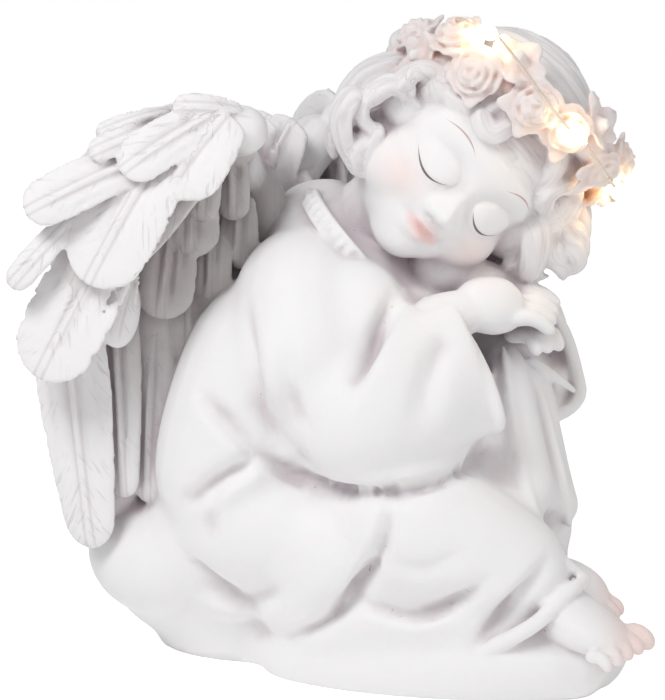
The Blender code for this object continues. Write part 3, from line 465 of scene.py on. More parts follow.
def robe_legs(clay):
    ball(clay, (-16, -8, 46), (35, 31, 25), sides=26, rings=18)
    limb(clay, [(2, -22, 47), (20, -30, 48), (38, -34, 43), (54, -36, 36), (68, -37, 28)],
         [22, 23, 20, 16, 12])
    roll(clay, [(-20, -8, 20), (6, -20, 22), (32, -28, 22), (56, -31, 19), (76, -33, 12)],
         [20, 21, 20, 17, 13], [20, 22, 20, 17, 14], (0, -1, 0), sides=20)
    roll(clay, [(-20, -4, 4), (10, -22, 6), (40, -32, 8), (66, -34, 9), (82, -36, 8)],
         [12, 14, 15, 14, 10], [18, 20, 19, 18, 14], (0, -1, 0), sides=20)
    limb(clay, [(-16, 26, 44), (8, 26, 66), (30, 18, 82), (48, 9, 88)], [24, 21, 17, 13])
    limb(clay, [(49, 8, 96), (51, 8, 76), (54, 6, 57), (61, 2, 42), (68, -3, 30)], [11, 12.5, 12, 11, 9])
    ball(clay, (28, 2, 30), (44, 32, 34), sides=26, rings=18)
    roll(clay, [(60, -18, -16), (62, -20, 2), (65, -22, 12), (66, -22, 20)],
         [12, 19, 24, 22], [14, 20, 25, 22], (0, -1, 0), sides=20, caps=(0.2, 0.2))


def robe_sleeves(clay):
    # Near arm: shoulder to elbow, then the bell of the sleeve up to the wrist
    limb(clay, [(-8, -4, 130), (-10, -17, 114), (-7, -27, 97), (-2, -33, 82)], [16, 19, 20, 18])
    roll(clay, [(-10, -30, 78), (6, -37, 81), (22, -37, 88), (34, -33, 94), (42, -31, 97)],
         [16, 19, 19.5, 20, 20], [15, 16, 14, 11, 9], (0, -1, 0), sides=20, caps=(0.3, 0.04))
    limb(clay, [(2, -14, 122), (9, -25, 107), (11, -32, 91)], [14, 14, 15])
    ball(clay, (39, -33, 83), (11, 7, 9))
    ball(clay, (40, -15, 67), (13, 12, 14))
    # Far arm and its sleeve, hanging from the wrist
    limb(clay, [(8, 30, 126), (22, 38, 108), (36, 36, 92), (46, 32, 84)], [16, 17, 16, 13])
    limb(clay, [(42, 32, 82), (52, 26, 92), (60, 16, 102)], [14, 13, 9])
    roll(clay, [(57, 12, 112), (62, 16, 100), (64, 18, 84), (63, 18, 68)], [7, 9, 10, 9.5], [7, 10, 12, 11],
         (0.5, -1, 0), sides=18, caps=(0.3, 0.08))
    # Chest between the arms
    limb(clay, [(0, 2, 121), (10, -3, 113), (22, -8, 101)], [21, 18, 16])
    ball(clay, (23, -14, 105), (14, 13, 12))
    # Cloth that hangs from the far sleeve down over the shin
    limb(clay, [(50, -8, 98), (53, -11, 80), (55, -15, 64), (60, -22, 48)], [6, 7.5, 9, 8])
    limb(clay, [(58, 3, 92), (62, 0, 70), (65, -4, 54), (69, -10, 42)], [6, 7, 7.5, 7])


# Edges that stand out of the cloth: points, half thickness
HEMS = {
    "cuff": ([(26, -27, 115), (31, -31, 112), (37, -34, 106), (42.5, -37, 97), (46.5, -38, 87), (48, -36, 79),
              (45, -32, 76)], 1.9),
    "leg_edge": ([(28, -35, 62), (40, -37, 56), (52, -38, 49), (60, -39, 45), (68, -39, 38),
                  (75, -36, 33)], 2.0),
    "hem": ([(75, -37, 34), (68, -46, 32), (58, -51, 24), (47, -49, 17), (37, -45, 11)], 2.4),
    "hanging_fold": ([(50, -14, 99), (52.5, -18, 82), (55, -23, 66), (60, -29, 49), (66, -29, 40)], 1.7),
    "shin_fold": ([(60, -4, 90), (65, -6, 70), (69, -10, 54), (71, -13, 42)], 2.0),
    "far_cuff": ([(59, -1, 92), (66, 0, 86.5), (74, 4, 80)], 1.6),
    "far_edge": ([(66, 12, 106), (71, 11, 96), (74.5, 9, 84), (75, 8, 78), (70, 8, 73), (63, 10, 71)], 2.2),
}

FOLDS = [
    # Seen points (x, z), width, depth, lean
    ([(-25, 106), (-23, 92), (-21, 79), (-16, 65)], 2.8, -3.0, 1.0),
    ([(-19, 100), (-16, 84), (-10, 68)], 3.0, 1.2, 0),
    ([(-13, 96), (-12, 82), (-5, 68)], 2.4, -1.2, 0),
    ([(18, 109), (12, 97), (5, 83)], 2.8, -6.0, 1.0),
    ([(32, 99), (28, 88), (24, 72)], 4.5, -3.0, 0),
    ([(-38, 81), (-30, 73), (-20, 63)], 2.8, -4.0, -1.0),
    ([(-44, 47), (-33, 55), (-20, 63)], 3.0, -4.5, -1.0),
    ([(-34, 54), (-35, 45), (-35, 38)], 2.4, -2.0, 0),
    ([(-42, 31), (-35, 25), (-28, 20)], 2.8, -3.2, 0),
    ([(-53, 45), (-44, 28), (-37, 19), (-26, 14), (-13, 17), (-3, 26), (8, 43)], 4.5, 3.0, 0),
    ([(17, 48), (12, 32), (0, 15), (-12, 8)], 2.6, -5.5, -1.0),
    ([(6, 21), (22, 16), (33, 19), (43, 26)], 2.6, -3.6, -1.0),
    ([(14, 33), (26, 30), (38, 36)], 2.4, -1.5, 0),
    ([(62, 32), (51, 20), (42, 8)], 2.6, -3.6, -1.0),
    ([(-22, 64), (-10, 57), (4, 53), (18, 53), (33, 56), (46, 64)], 2.3, -6.0, 1.0),
]


def robed_body():
    clay = bmesh.new()
    robe_masses(clay)
    robe_legs(clay)
    robe_sleeves(clay)
    skin = Skin(fused(clay, ROBE_GRAIN, 12, web=5))
    # Mouths of the two sleeves
    skin.dent((47, -29, 92), (9, 10, 14), (-9, 0, 0))
    skin.dent((66, 6, 94), (9, 14, 13), (0, 9, 0))
    for path, width, depth, lean in FOLDS:
        skin.stroke(path, width, depth, lean)
    clay = joined([skin.done()])
    for path, half in HEMS.values():
        limb(clay, path, [half * 0.6] + [half] * (len(path) - 2) + [half * 0.6], sides=12, rings=40)
    return fused(clay, ROBE_GRAIN * 0.7, 3)


def collar(clay):
    """A stand-up band round the neck, with a row of raised diamonds between two lines."""
    axis = unit(COLLAR_AXIS)
    first = unit(np.cross(axis, (0, 1, 0)))
    second = np.cross(axis, first)
    turns = [2 * math.pi * i / 24 for i in range(25)]
    ways = [first * math.cos(t) + second * math.sin(t) for t in turns]
    for offset, half, deep in ((0, 2.6, 1.3), (-2.5, 0.7, 1.9), (2.5, 0.7, 1.9)):
        ring = [COLLAR_CENTRE + axis * offset + way * COLLAR_RADIUS for way in ways]
        roll(clay, ring, [half] * 4, [deep] * 4, ways, sides=12, rings=70)
    for i in range(COLLAR_DIAMONDS):
        turn = 2 * math.pi * i / COLLAR_DIAMONDS
        way = first * math.cos(turn) + second * math.sin(turn)
        ball(clay, COLLAR_CENTRE + way * (COLLAR_RADIUS + 1.4), (1.1, 0.9, 1.5),
             (way, np.cross(axis, way), axis), sides=8, rings=6)


# Hands and feet


def finger(clay, path, radius):
    limb(clay, path, [radius, radius, radius * 0.92, radius * 0.8], sides=14, rings=16)


def hands(clay):
    ball(clay, (34, -9, 121), (11, 10, 10))
    limb(clay, [(22, -29, 104), (33, -28, 109), (44, -25.5, 110.5)], [9, 7.5, 6.5])
    roll(clay, [(34, -27, 110.5), (45, -24.5, 112), (56, -20, 108.5)], [6.5, 8.6, 7.6], [5.8, 6.2, 5.0],
         (0, -1, 0.35))
    for i in range(4):
        start = np.array([50.0, -26.0, 108.0]) + i * np.array([0.9, 4.3, 1.8])
        finger(clay, [start, start + (8, 2.0, 0.0), start + (14.5, 3.6, -4.6)], 2.5)
    # The other hand lies under it, with the cheek on both
    limb(clay, [(62, 14, 102), (57, 3, 106), (47, -8, 113), (34, -14, 116)], [8, 8.5, 9, 9])
    for i in range(3):
        start = np.array([51.0, -11.0, 100.5]) + i * np.array([3.4, 2.2, 0.2])
        finger(clay, [start, start + (6.5, -6.0, 0.8), start + (9.5, -9.0, -4.2)], 2.5)


def feet(clay):
    roll(clay, [(48, -36, 22), (62, -39, 25), (74, -45, 21), (86, -51, 16)], [8, 9, 11, 10], [9, 10, 7, 4.5],
         (0, 0, 1))
    for i in range(5):
        start = np.array([84.0, -42.0, 18.5]) + i * np.array([-3.0, -3.7, -0.6])
        size = (3.3, 2.5, 2.4, 2.2, 2.0)[i]
        finger(clay, [start, start + (4.5, -2.6, 0.2), start + (8.6 - 0.5 * i, -4.6, -3.2)], size)
    roll(clay, [(60, -4, 24), (72, -10, 24), (82, -17, 18)], [8, 8.5, 8], [8, 7, 4.5], (0, 0, 1))
    for i in range(3):
        start = np.array([80.0, -9.5, 18.5]) + i * np.array([-1.6, -4.2, -0.2])
        finger(clay, [start, start + (4.0, -2.4, 0.2), start + (7.4, -3.8, -3.0)], 2.5)


def extremities():
    clay = bmesh.new()
    hands(clay)
    feet(clay)
    band = bmesh.new()
    collar(band)
    return joined([fused(clay, FINE_GRAIN, 3), fused(band, FINE_GRAIN, 0)])


# The head, worked in its own axes: forward, to its left, up


def head(point):
    return HEAD_CENTRE + np.asarray(point, float) @ HEAD_AXES


def head_way(direction):
    return np.asarray(direction, float) @ HEAD_AXES


def in_head(points):
    return (points - HEAD_CENTRE) @ HEAD_AXES.T


def head_ball(clay, centre, radii, **more):
    ball(clay, head(centre), radii, HEAD_AXES, **more)


def skull(clay):
    """Skull, brow, jaw, chin and the two cheeks, with the neck below them."""
    for centre, radii, sides in (
            ((-3, 0, 9), (28, 26, 28), 32), ((5.5, 0, -6), (20, 22.5, 22.5), 32),
            ((6.5, 0, 3), (19.5, 22.5, 21), 32), ((12.5, 0, -17), (12.5, 13, 10.5), 24),
            ((13, 0, -22), (9.5, 9, 7.5), 24), ((10.5, 11.5, -11.5), (11.5, 11, 10.5), 24),
            ((10.5, -11.5, -11.5), (11.5, 11, 10.5), 24)):
        size = 1.0 if centre[0] < 0 else FACE_SIZE
        head_ball(clay, np.array(centre) * size, np.array(radii) * size, sides=sides, rings=sides * 3 // 4)
    limb(clay, [(-2, 8, 118), (12, 3, 132), (24, -1, 142), (30, -2, 146)], [14, 14, 15, 15])


def dome(x, y, power):
    return np.clip(1 - x**2 - y**2, 0, 1) ** power


def face(points, normals):
    """Works the features into the front of the bare head."""
    f, l, u = in_head(points).T / FACE_SIZE
    facing = np.clip(normals @ FORWARD * 1.6 - 0.15, 0, 1) * (f > 4)
    side = np.abs(l)
    eye_x = (side - EYE_SIDE) / EYE_HALF_WIDTH
    eye_y = (u - EYE_HEIGHT) / LID_HEIGHT
    move = -1.9 * bump(np.hypot(eye_x * 0.85, (eye_y - 0.25) * 0.75), 1.0)
    move += 3.1 * dome(eye_x * 0.95, (eye_y + 0.1) * 0.9, 0.7)
    # Brow ridge, bridge, tip and wings of the nose
    move += 0.7 * bump(side - EYE_SIDE, 7) * bump(u - BROW_HEIGHT, 3)
    slope = np.clip((3 - u) / (3 - NOSE_HEIGHT), 0, 1) * (u > NOSE_HEIGHT - 3)
    move += 2.6 * slope * bump(l, 3.0)
    move += 3.2 * bump(np.hypot(l / 3.3, (u - NOSE_HEIGHT) / 3.0), 1.0)
    move += 1.9 * bump(np.hypot((side - 3.7) / 1.8, (u - NOSE_HEIGHT + 1.1) / 1.9), 1.0)
    move -= 1.3 * bump(np.hypot((side - 1.9) / 1.1, (u - NOSE_HEIGHT + 3.0) / 0.7), 1.0)
    # Mouth: its mound, two lips, the line between them and its corners
    move += 1.5 * bump(np.hypot(l / 7.0, (u - MOUTH_HEIGHT) / 4.4), 1.0)
    upper = MOUTH_HEIGHT + 1.5 - 0.035 * side**2 + 0.35 * bump(side - 1.6, 1.2)
    inside = np.clip(1 - (side / MOUTH_HALF_WIDTH) ** 2, 0, 1)
    move += 1.3 * bump(u - upper, 1.0) * inside
    move += 1.5 * bump(np.hypot(l / 3.4, (u - MOUTH_HEIGHT + 2.1) / 1.3), 1.0)
    line = MOUTH_HEIGHT + 0.25 - 0.35 * bump(l, 1.5) + 0.012 * side**2
    move -= 1.3 * bump(u - line, 0.5) * inside**0.5
    move -= 1.0 * bump(np.hypot((side - MOUTH_HALF_WIDTH - 0.7) / 1.4, (u - MOUTH_HEIGHT - 0.3) / 1.2), 1.0)
    move -= 0.5 * bump(l, 0.9) * bump(u - MOUTH_HEIGHT - 4.2, 1.3)
    # Chin and full cheeks
    move -= 1.0 * bump(np.hypot(l / 4.5, (u - MOUTH_HEIGHT + 5.0) / 1.4), 1.0)
    move += 1.5 * bump(np.hypot(l / 5.0, (u - CHIN_HEIGHT) / 3.2), 1.0)
    move += 1.6 * bump(np.hypot((side - 12.5) / 6.5, (u + 11.5) / 6.0), 1.0)
    return points + np.outer(move * facing * FACE_SIZE, FORWARD)


def lid_lines(points, normals):
    """Cuts the line of the closed lids and the crease above them."""
    f, l, u = in_head(points).T / FACE_SIZE
    facing = np.clip(normals @ FORWARD * 2, 0, 1) * (f > 10)
    side = np.abs(l)
    eye_x = (side - EYE_SIDE) / EYE_HALF_WIDTH
    arc = np.sqrt(np.clip(1 - eye_x**2, 0, 1))
    lower = EYE_HEIGHT - 0.5 - LID_HEIGHT * 0.86 * arc
    upper = EYE_HEIGHT + LID_HEIGHT * 0.95 * arc
    ends = np.clip(1.1 - np.abs(eye_x), 0, 1) ** 0.4
    move = -0.75 * bump(u - lower, 0.45) * ends
    move -= 0.35 * bump(u - upper, 0.5) * ends
    return points + np.outer(move * facing * FACE_SIZE, FORWARD)


# Hair


def strand(clay, path, width):
    """A lock of hair along a path in head axes, grooved along its length, thinning to its tip."""
    path = np.array(path, float)
    out = [unit(p - HAIR_CENTRE) for p in path]
    across = width * np.interp(np.linspace(0, 1, 6), [0, 0.25, 0.6, 1], [0.75, 1, 0.92, 0.4])
    cut = bpy.context.scene.casting_sizes.hair_cut

    def grooves(share, turn):
        return 1 + cut * (np.abs(np.cos(3 * turn + 2.2 * share)) - 0.6)

    roll(clay, head(path), across, across * 0.72, head_way(out), sides=44, rings=34, caps=(0.12, 0.3),
         relief=grooves, grain=LOCK)


def curl(clay, start, heading, length, width, turns, lift):
    """A lock that follows the head from a start, bending as it goes and standing off it."""
    steps = 9
    now = unit(start)
    way = unit(np.asarray(heading, float) - now * np.dot(heading, now))
    points = []
    for step in range(steps):
        share = step / (steps - 1)
        reach = 1 / np.linalg.norm(now / HAIR_RADII)
        points.append(HAIR_CENTRE + now * (reach + lift * math.sin(share * math.pi * 0.75)))
        bend = turns * (0.4 + 1.2 * share) / (steps - 1)
        way = way * math.cos(bend) + np.cross(now, way) * math.sin(bend)
        now = unit(now + way * length / (steps - 1) / reach)
        way = unit(way - now * way.dot(now))
    strand(clay, points, width)


def combed_cap(clay):
    """The smooth hair behind the wreath, combed in rows that run with the ring."""
    lean = math.cos(WREATH_LEAN), math.sin(WREATH_LEAN)
    lump, points = fresh_ball(90, 150)
    height = np.arcsin(np.clip(points[:, 2], -1, 1))
    turn = np.arctan2(points[:, 1], points[:, 0])
    rows = 0.022 * np.abs(np.cos(height * 13 + 1.2 * np.sin(3 * turn)))
    rows = 1 + rows + 0.012 * np.cos(height * 47 + 2 * np.sin(2 * turn))
    axes = np.array([(lean[0], 0, lean[1]), (0, 1, 0), (-lean[1], 0, lean[0])]) @ HEAD_AXES
    placed = head(HAIR_CENTRE + (0, 1.5, 0)) + (points * rows[:, None] * (31.0, 28.5, 32.0)) @ axes
    ahead = np.column_stack([-np.sin(turn), np.cos(turn), 0 * turn]) @ axes
    tilt = np.sin(height)
    side = np.column_stack([-tilt * np.cos(turn), -tilt * np.sin(turn), np.cos(height)]) @ axes
    GRAIN.note(LOCK, placed, ahead, side, turn * 30 * np.cos(height), height * 31, np.full(len(turn), 6.0))
    add(clay, lump, placed)


LOCKS = [
    # Path in head axes, half width
    ([(14, -26, -12), (14, -33, -12), (14, -37, -7), (14, -36, -1), (14, -30, 2), (15, -24, 3)], 3),
    ([(14, -41, -7), (14, -38, -15), (14, -32, -20), (14, -22, -25)], 4.5),
    ([(14, -28, -14), (14, -27, -20), (14, -22, -23), (15, -18, -22)], 3.5),
    ([(14, -28, -9), (14, -26, -14), (14, -22, -20), (14, -19, -24)], 3.5),
    ([(15, -28, 3), (15, -34, 6), (15, -34, 10), (15, -30, 13), (15, -26, 11), (17, -23, 7)], 2.5),
    ([(15, -28, 15), (15, -24, 13), (19, -19, 14), (20, -16, 21), (18, -14, 26), (19, -9, 30),
      (22, -6, 28)], 4),
    ([(15, -25, 19), (15, -20, 24), (17, -15, 27), (16, -11, 31)], 3.5),
    ([(22, -16, 18), (25, -13, 15), (27, -9, 15), (26, -7, 22), (25, -4, 26)], 3.5),
    ([(22, -15, 16), (22, -13, 23), (23, -8, 26), (25, -2, 26)], 5),
    ([(24, -2, 26), (23, 4, 27), (24, 10, 24), (24, 14, 18), (24, 15, 12)], 4),
    ([(22, -5, 30), (22, 3, 31), (21, 11, 28), (22, 16, 22)], 3.5),
    ([(18, 24, 10), (23, 18, 14), (21, 19, 19), (15, 24, 21), (15, 28, 19), (15, 29, 12)], 3.5),
    ([(15, 28, 7), (15, 34, 4), (15, 41, 3), (15, 46, 0)], 4.5),
    ([(14, 33, 11), (14, 39, 10), (14, 44, 6), (14, 44, 0)], 5),
    ([(15, 27, 3), (15, 31, -3), (15, 32, -9), (15, 38, -6), (15, 42, -2)], 4),
    ([(14, -34, 3), (14, -36, -1), (14, -36, -6), (14, -35, -12)], 4),
    ([(14, -32, 12), (14, -34, 6), (14, -33, 2), (14, -29, 0)], 3.5),
    ([(15, -29, 21), (15, -25, 16), (16, -21, 16), (18, -19, 18)], 4),
    ([(19, 24, 6), (18, 31, 0), (16, 36, -6), (13, 36, -8)], 5),
    ([(4, 29, 17), (4, 39, 13), (3, 44, 5), (3, 40, -4)], 6),
    ([(10, 28, 2), (9, 34, -4), (8, 34, -11), (9, 28, -16)], 5.5),
    ([(-8, 28, 14), (-8, 39, 8), (-8, 42, -2), (-9, 36, -10)], 6.5),
    ([(-2, 28, -2), (-2, 33, -10), (-3, 29, -18)], 6),
    ([(4, -30, -2), (6, -33, -12), (9, -30, -20), (12, -26, -23)], 5),
    ([(-6, -29, 8), (-7, -34, -6), (-5, -31, -18), (-1, -26, -26)], 6.5),
    ([(-9, -27, -14), (-9, -26, -24), (-5, -22, -30)], 5.5),
]


def hair(clay):
    shake = np.random.RandomState(7)
    combed_cap(clay)
    head_ball(clay, (7, 26, 4), (13, 12, 16))
    for path, width in LOCKS:
        strand(clay, path, width)
    # Hair under the wreath, so that no gap shows between its flowers
    for place in ((14, 0, 24), (14, -14, 22), (13, 15, 21), (9, 26, 13), (9, -24, 12), (6, -25, 0),
                  (4, -22, -12), (8, 30, 8), (7, 32, -2)):
        head_ball(clay, place, (9, 9, 9))
    # Back of the head, down to the nape
    for row in range(3):
        for i in range(6):
            start = (-1, -1.15 + 0.45 * i + 0.1 * shake.rand(), 0.30 - 0.42 * row)
            curl(clay, start, (0, 0.25 * (i - 2.5), -1), 20, 6.0 + shake.rand(), (-1) ** (i + row) * 1.4, 3.0)


# The wreath


def wreath_frame(angle):
    """A point of the wreath's ring, the way out from it and the way along it, in the head's axes."""
    top = np.array([math.cos(WREATH_LEAN), 0, math.sin(WREATH_LEAN)])
    normal = np.array([-math.sin(WREATH_LEAN), 0, math.cos(WREATH_LEAN)])
    side = np.array([0, math.cos(WREATH_ROLL), 0]) + normal * math.sin(WREATH_ROLL)
    out = math.cos(angle) * top + math.sin(angle) * side
    ahead = -math.sin(angle) * top + math.cos(angle) * side
    return np.array(WREATH_CENTRE) + WREATH_RADIUS * out, out, ahead


def round_about(out, ahead, turn):
    return ahead * math.cos(turn) + np.cross(out, ahead) * math.sin(turn)


def petal(clay, centre, out, way, near, far, rise, width, thick, curve=0.65):
    """A petal from near to far of a flower's centre, rising over its length, with a rolled rim."""
    middle = centre + way * (near + far) / 2 + out * rise * curve
    path = [centre + way * near, middle, centre + way * far + out * rise]

    def rim(share, across, face):
        return thick * (0.25 * np.cos(across / width * 7) + 0.5 * (across / width) ** 2)

    roll(clay, head(path), [width * 0.6, width, width * 0.75], [thick] * 3, head_way(out - way * 0.5),
         sides=22, rings=16, caps=(0.2, 0.45), grain=PETAL, etch=rim)


def rose(clay, centre, out, ahead, radius):
    head_ball(clay, centre + out * radius * 0.1, (radius * 0.5,) * 3, sides=14, rings=10)
    # Petals in a ring, and their near end, far end, rise and half width as shares of the radius
    rows = ((3, 0.05, 0.30, 0.95, 0.30), (4, 0.2, 0.58, 0.80, 0.42), (5, 0.4, 0.88, 0.55, 0.50),
            (6, 0.55, 1.15, 0.2, 0.52))
    for ring, (count, *shares) in enumerate(rows):
        near, far, rise, width = (share * radius for share in shares)
        for i in range(count):
            way = round_about(out, ahead, 2 * math.pi * i / count + ring)
            petal(clay, centre, out, way, near, far, rise, width, 0.10 * radius)


def blossom(clay, centre, out, ahead, radius):
    head_ball(clay, centre + out * radius * 0.1, (radius * 0.4,) * 3, sides=12, rings=8)
    for i in range(7):
        way = round_about(out, ahead, 2 * math.pi * i / 7) * (0.16 if i else 0)
        head_ball(clay, centre + (out * 0.5 + way) * radius, (radius * 0.11,) * 3, sides=10, rings=8)
    for i in range(5):
        way = round_about(out, ahead, 2 * math.pi * i / 5)
        petal(clay, centre, out, way, 0.1 * radius, 1.15 * radius, 0.35 * radius, 0.46 * radius,
              0.12 * radius, curve=0.3)


def leaf(clay, centre, out, way, length, width):
    petal(clay, centre, out, way, 0, length, length * 0.25, width, 0.9)


def wreath(clay):
    shake = np.random.RandomState(3)
    turns = [wreath_frame(2 * math.pi * i / 24) for i in range(25)]
    roll(clay, [head(p - out * 2.5) for p, out, _ in turns], [6.0] * 4, [4.0] * 4,
         [head_way(out) for _, out, _ in turns], rings=60, sides=12)
    for i in range(WREATH_FLOWERS):
        angle = 2 * math.pi * (i + 0.25 * shake.rand()) / WREATH_FLOWERS
        centre, out, ahead = wreath_frame(angle)
        across = np.cross(out, ahead)
        tilt = 0.45 if i % 2 else -0.45
        out = unit(out + across * tilt)
        centre = centre + across * (3.6 if i % 2 else -3.6)
        size = 5.8 + 2.2 * shake.rand()
        if i % 3 == 1:
            blossom(clay, centre, out, ahead, size * 1.1)
        else:
            rose(clay, centre, out, ahead, size)
        for turn in (0.9, 2.4):
            way = round_about(out, ahead, turn + shake.rand() if i % 2 else -turn - shake.rand())
            leaf(clay, centre - out, out, way, 9 + 4 * shake.rand(), 3.4)


def dressed_head():
    clay = bmesh.new()
    skull(clay)
    bare = Skin(fused(clay, FINE_GRAIN * 1.3, 14, web=4))
    bare.points = face(bare.points, bare.normals)
    plain = np.zeros(len(bare.points))
    GRAIN.note(0, bare.points, bare.normals, bare.normals, plain, plain, plain + 1)
    clay = bmesh.new()
    hair(clay)
    flowers = bmesh.new()
    wreath(flowers)
    return [bare.done(), fused(clay, FINE_GRAIN * 1.1, 1), fused(flowers, FINE_GRAIN, 1)]


# Wings


def feather_etch(width, seed):
    """The cuts in a feather: two lines beside its shaft, a few long scores and short nicks at its edges."""
    shake = np.random.RandomState(seed)
    cut = bpy.context.scene.casting_sizes.feather_cut / UNIT * min(1.0, width / 7)
    scores = [(shake.uniform(-0.75, 0.75), shake.uniform(0.2, 0.6), shake.uniform(0.12, 0.3))
              for _ in range(5)]
    bow = shake.uniform(-0.1, 0.1)

    def etch(share, across, face):
        middle = across - bow * width * np.sin(share * math.pi)
        run = np.clip(np.sin(np.clip(share * 1.15, 0, 1) * math.pi), 0, 1) ** 0.5
        depth = 0.55 * cut * bump(middle, 0.9) * run
        for beside in (-1.9, 1.9):
            depth = depth - cut * bump(middle - beside, 0.75) * run
        for place, at, long in scores:
            line = across - place * width * (1 + 0.25 * (share - at))
            depth = depth - 0.8 * cut * bump(line, 0.55) * bump(share - at, long)
        edge = np.clip(np.abs(across) / width * 2.2 - 1.0, 0, 1)
        nick = np.clip(np.cos(share * 46 - np.abs(across) * 1.1 + 5 * place), 0, 1) ** 5
        return (depth - 0.6 * cut * edge * nick) * np.sign(face)

    return etch


# Feathers of one wing: root, tip, half width and how many layers it lies above the rest
CANOPY_FEATHERS = (
    ((-70, -29, 142), (-92, -37, 119), 4.6, -1), ((-57, -19, 126), (-62.5, -21, 104), 3.6, -1),
    ((-58, -24, 142), (-85, -33, 92), 13, 0), ((-46, -24, 168), (-67, -33, 162), 3.6, -1),
    ((-48, -25, 164), (-69, -35, 157), 4.0, 0), ((-50, -27, 157), (-87, -38, 141), 7.6, 0.6),
    ((-44, -26, 165), (-70, -35, 120), 13, 1.2), ((-34, -24, 168), (-60, -33, 152), 7.5, 1.8),
    ((-30, -23, 168), (-47.5, -31, 145.5), 12.0, 2.4), ((-26, -20, 168), (-45.5, -26, 170), 4.0, 2.0),
)
COVERTS = (
    ((-24, -2, 124), (-26, -5, 98), 6.5, 0), ((-33, -5, 120), (-33, -7, 94), 7.0, 0),
    ((-42, -7, 118), (-42, -10, 92), 6.5, 0), ((-36, -7, 132), (-36.5, -9, 109.5), 7.4, 0.4),
    ((-27, -6, 142), (-28, -8, 120), 6.4, 0.8), ((-29, -9, 156), (-29, -11, 135), 5.4, 1.8),
    ((-59.5, -15, 127), (-61.5, -18, 115), 3.0, 0), ((-47, -11, 138), (-50.5, -14, 106), 10.0, 0.6),
    ((-41, -11, 148), (-41.5, -14, 124.5), 9.2, 1.6), ((-36, -13, 158), (-38, -15, 136), 5.6, 2.6),
)
LONG_FEATHERS = (
    ((-34, 1, 100), (-37, -1, 62), 7.0, 0), ((-44, -2, 106), (-46, -4, 52), 7.0, 0),
    ((-52, -6, 112), (-55.5, -8, 49), 7.0, 0.4), ((-64, -9, 112), (-62, -12, 51.5), 7.4, 0.4),
    ((-79, -12, 112), (-71.5, -14, 36.5), 11.8, 0.8),
)
BACK_FEATHERS = (
    (-72, 92, 46, 13), (-58, 74, 52, 13), (-44, 66, 54, 13), (-33, 74, 52, 12), (-69, 52, 40, 11),
    (-55, 42, 42, 12), (-41, 46, 40, 11), (-58, 112, 38, 13), (-42, 106, 40, 14), (-30, 114, 34, 11),
    (-44, 136, 28, 12), (-30, 138, 26, 11),
)


def wing(clay, carry, seed):
    """One wing as layers of feathers. Carry puts a point of the near wing in place, or turns a direction."""
    view = unit((-0.25, -0.95, 0.15))
    count = [seed]

    def vane(path, width, thick, kind=FEATHER, shape=(0.66, 0.9, 1.0, 0.9)):
        count[0] += 1
        length = np.linalg.norm(np.subtract(path[-1], path[0]))
        roll(clay, [carry(p) for p in path], [width * part for part in shape], [thick] * 4,
             carry(view, True), sides=90, rings=70, caps=(0.1, min(0.45, 0.75 * width / length)),
             etch=feather_etch(width, count[0]), grain=kind)

    def sheet(path, widths, thick):
        roll(clay, [carry(p) for p in path], widths, [thick] * 4, carry(view, True), sides=20, rings=20,
             grain=INNER_FEATHER if carry is near_wing else FEATHER)

    # Inner sheets, from the back out to the long feathers, and the bent canopy with its outer edge
    sheet([(-20, 3, 150), (-34, 4, 118), (-46, 4, 84), (-52, 2, 50)], [12, 18, 18, 14], 7.0)
    sheet([(-30, 0, 156), (-50, -1, 125), (-64, -3, 88), (-67, -3, 42)], [9, 15, 15, 9], 7.0)
    sheet([(-30, -10, 161), (-54, -14, 146), (-71, -16, 124), (-79, -17, 100)], [6, 8, 8, 7], 8)
    sheet([(-27, -19, 162), (-45, -23, 156), (-61, -28, 142), (-75, -30, 116)], [9, 15, 18, 12], 3.2)
    # The arm of the wing, from the shoulder up to the wrist
    arm = [(-16, 7, 126), (-24, 4, 142), (-29, -7, 154), (-28, -14, 160)]
    limb(clay, [carry(p) for p in arm], [9, 7, 7, 7.5])
    ball(clay, carry((-27, -18, 162)), (8.5, 8, 7.5))
    # Clay behind three places where feathers would leave a gap
    for place, size in (((-63, -18, 111), (7, 5, 13)), ((-28, -1, 118), (6, 5, 7)),
                        ((-47, 1, 90), (7, 5, 8))):
        ball(clay, carry(place), size)
    for feathers, thick in ((LONG_FEATHERS, 2.2), (COVERTS, 1.9), (CANOPY_FEATHERS, 1.5)):
        for root, tip, width, layer in feathers:
            lift = np.array([0, -1.3 * layer, 0])
            root, tip = np.array(root) + lift, np.array(tip) + lift
            # The inner feathers of the near wing are marked for the painted shade under its canopy
            inner = feathers is COVERTS or (feathers is LONG_FEATHERS and tip[0] > -70)
            kind = INNER_FEATHER if inner and carry is near_wing else FEATHER
            shape = (0.9, 1.0, 0.85, 0.6) if feathers is LONG_FEATHERS else (0.66, 0.9, 1.0, 0.85)
            vane([root, (root + tip) / 2 + (0, -1.8, 0.8), tip], width, thick, kind, shape)
    # Back of the wing, plainer
    for x, z, length, width in BACK_FEATHERS:
        path = (x + 9, 4, z + length), (x + 4, 9, z + length / 2), (x, 10, z)
        vane([np.array(p) for p in path], width, 1.8)


def near_wing(point, direction=False):
    return np.asarray(point, float)


def far_wing(point, direction=False):
    """The near wing's point or direction, seen in the figure's plane of symmetry."""
    point = np.asarray(point, float)
    if direction:
        return point - 2 * point.dot(FIGURE_LEFT) * FIGURE_LEFT
    return point - 2 * (point - SPINE).dot(FIGURE_LEFT) * FIGURE_LEFT - (0, 0, 3)


def wings():
    clay = bmesh.new()
    wing(clay, near_wing, 100)
    wing(clay, far_wing, 200)
    return fused(clay, FINE_GRAIN * 1.1, 1)


# The whole casting


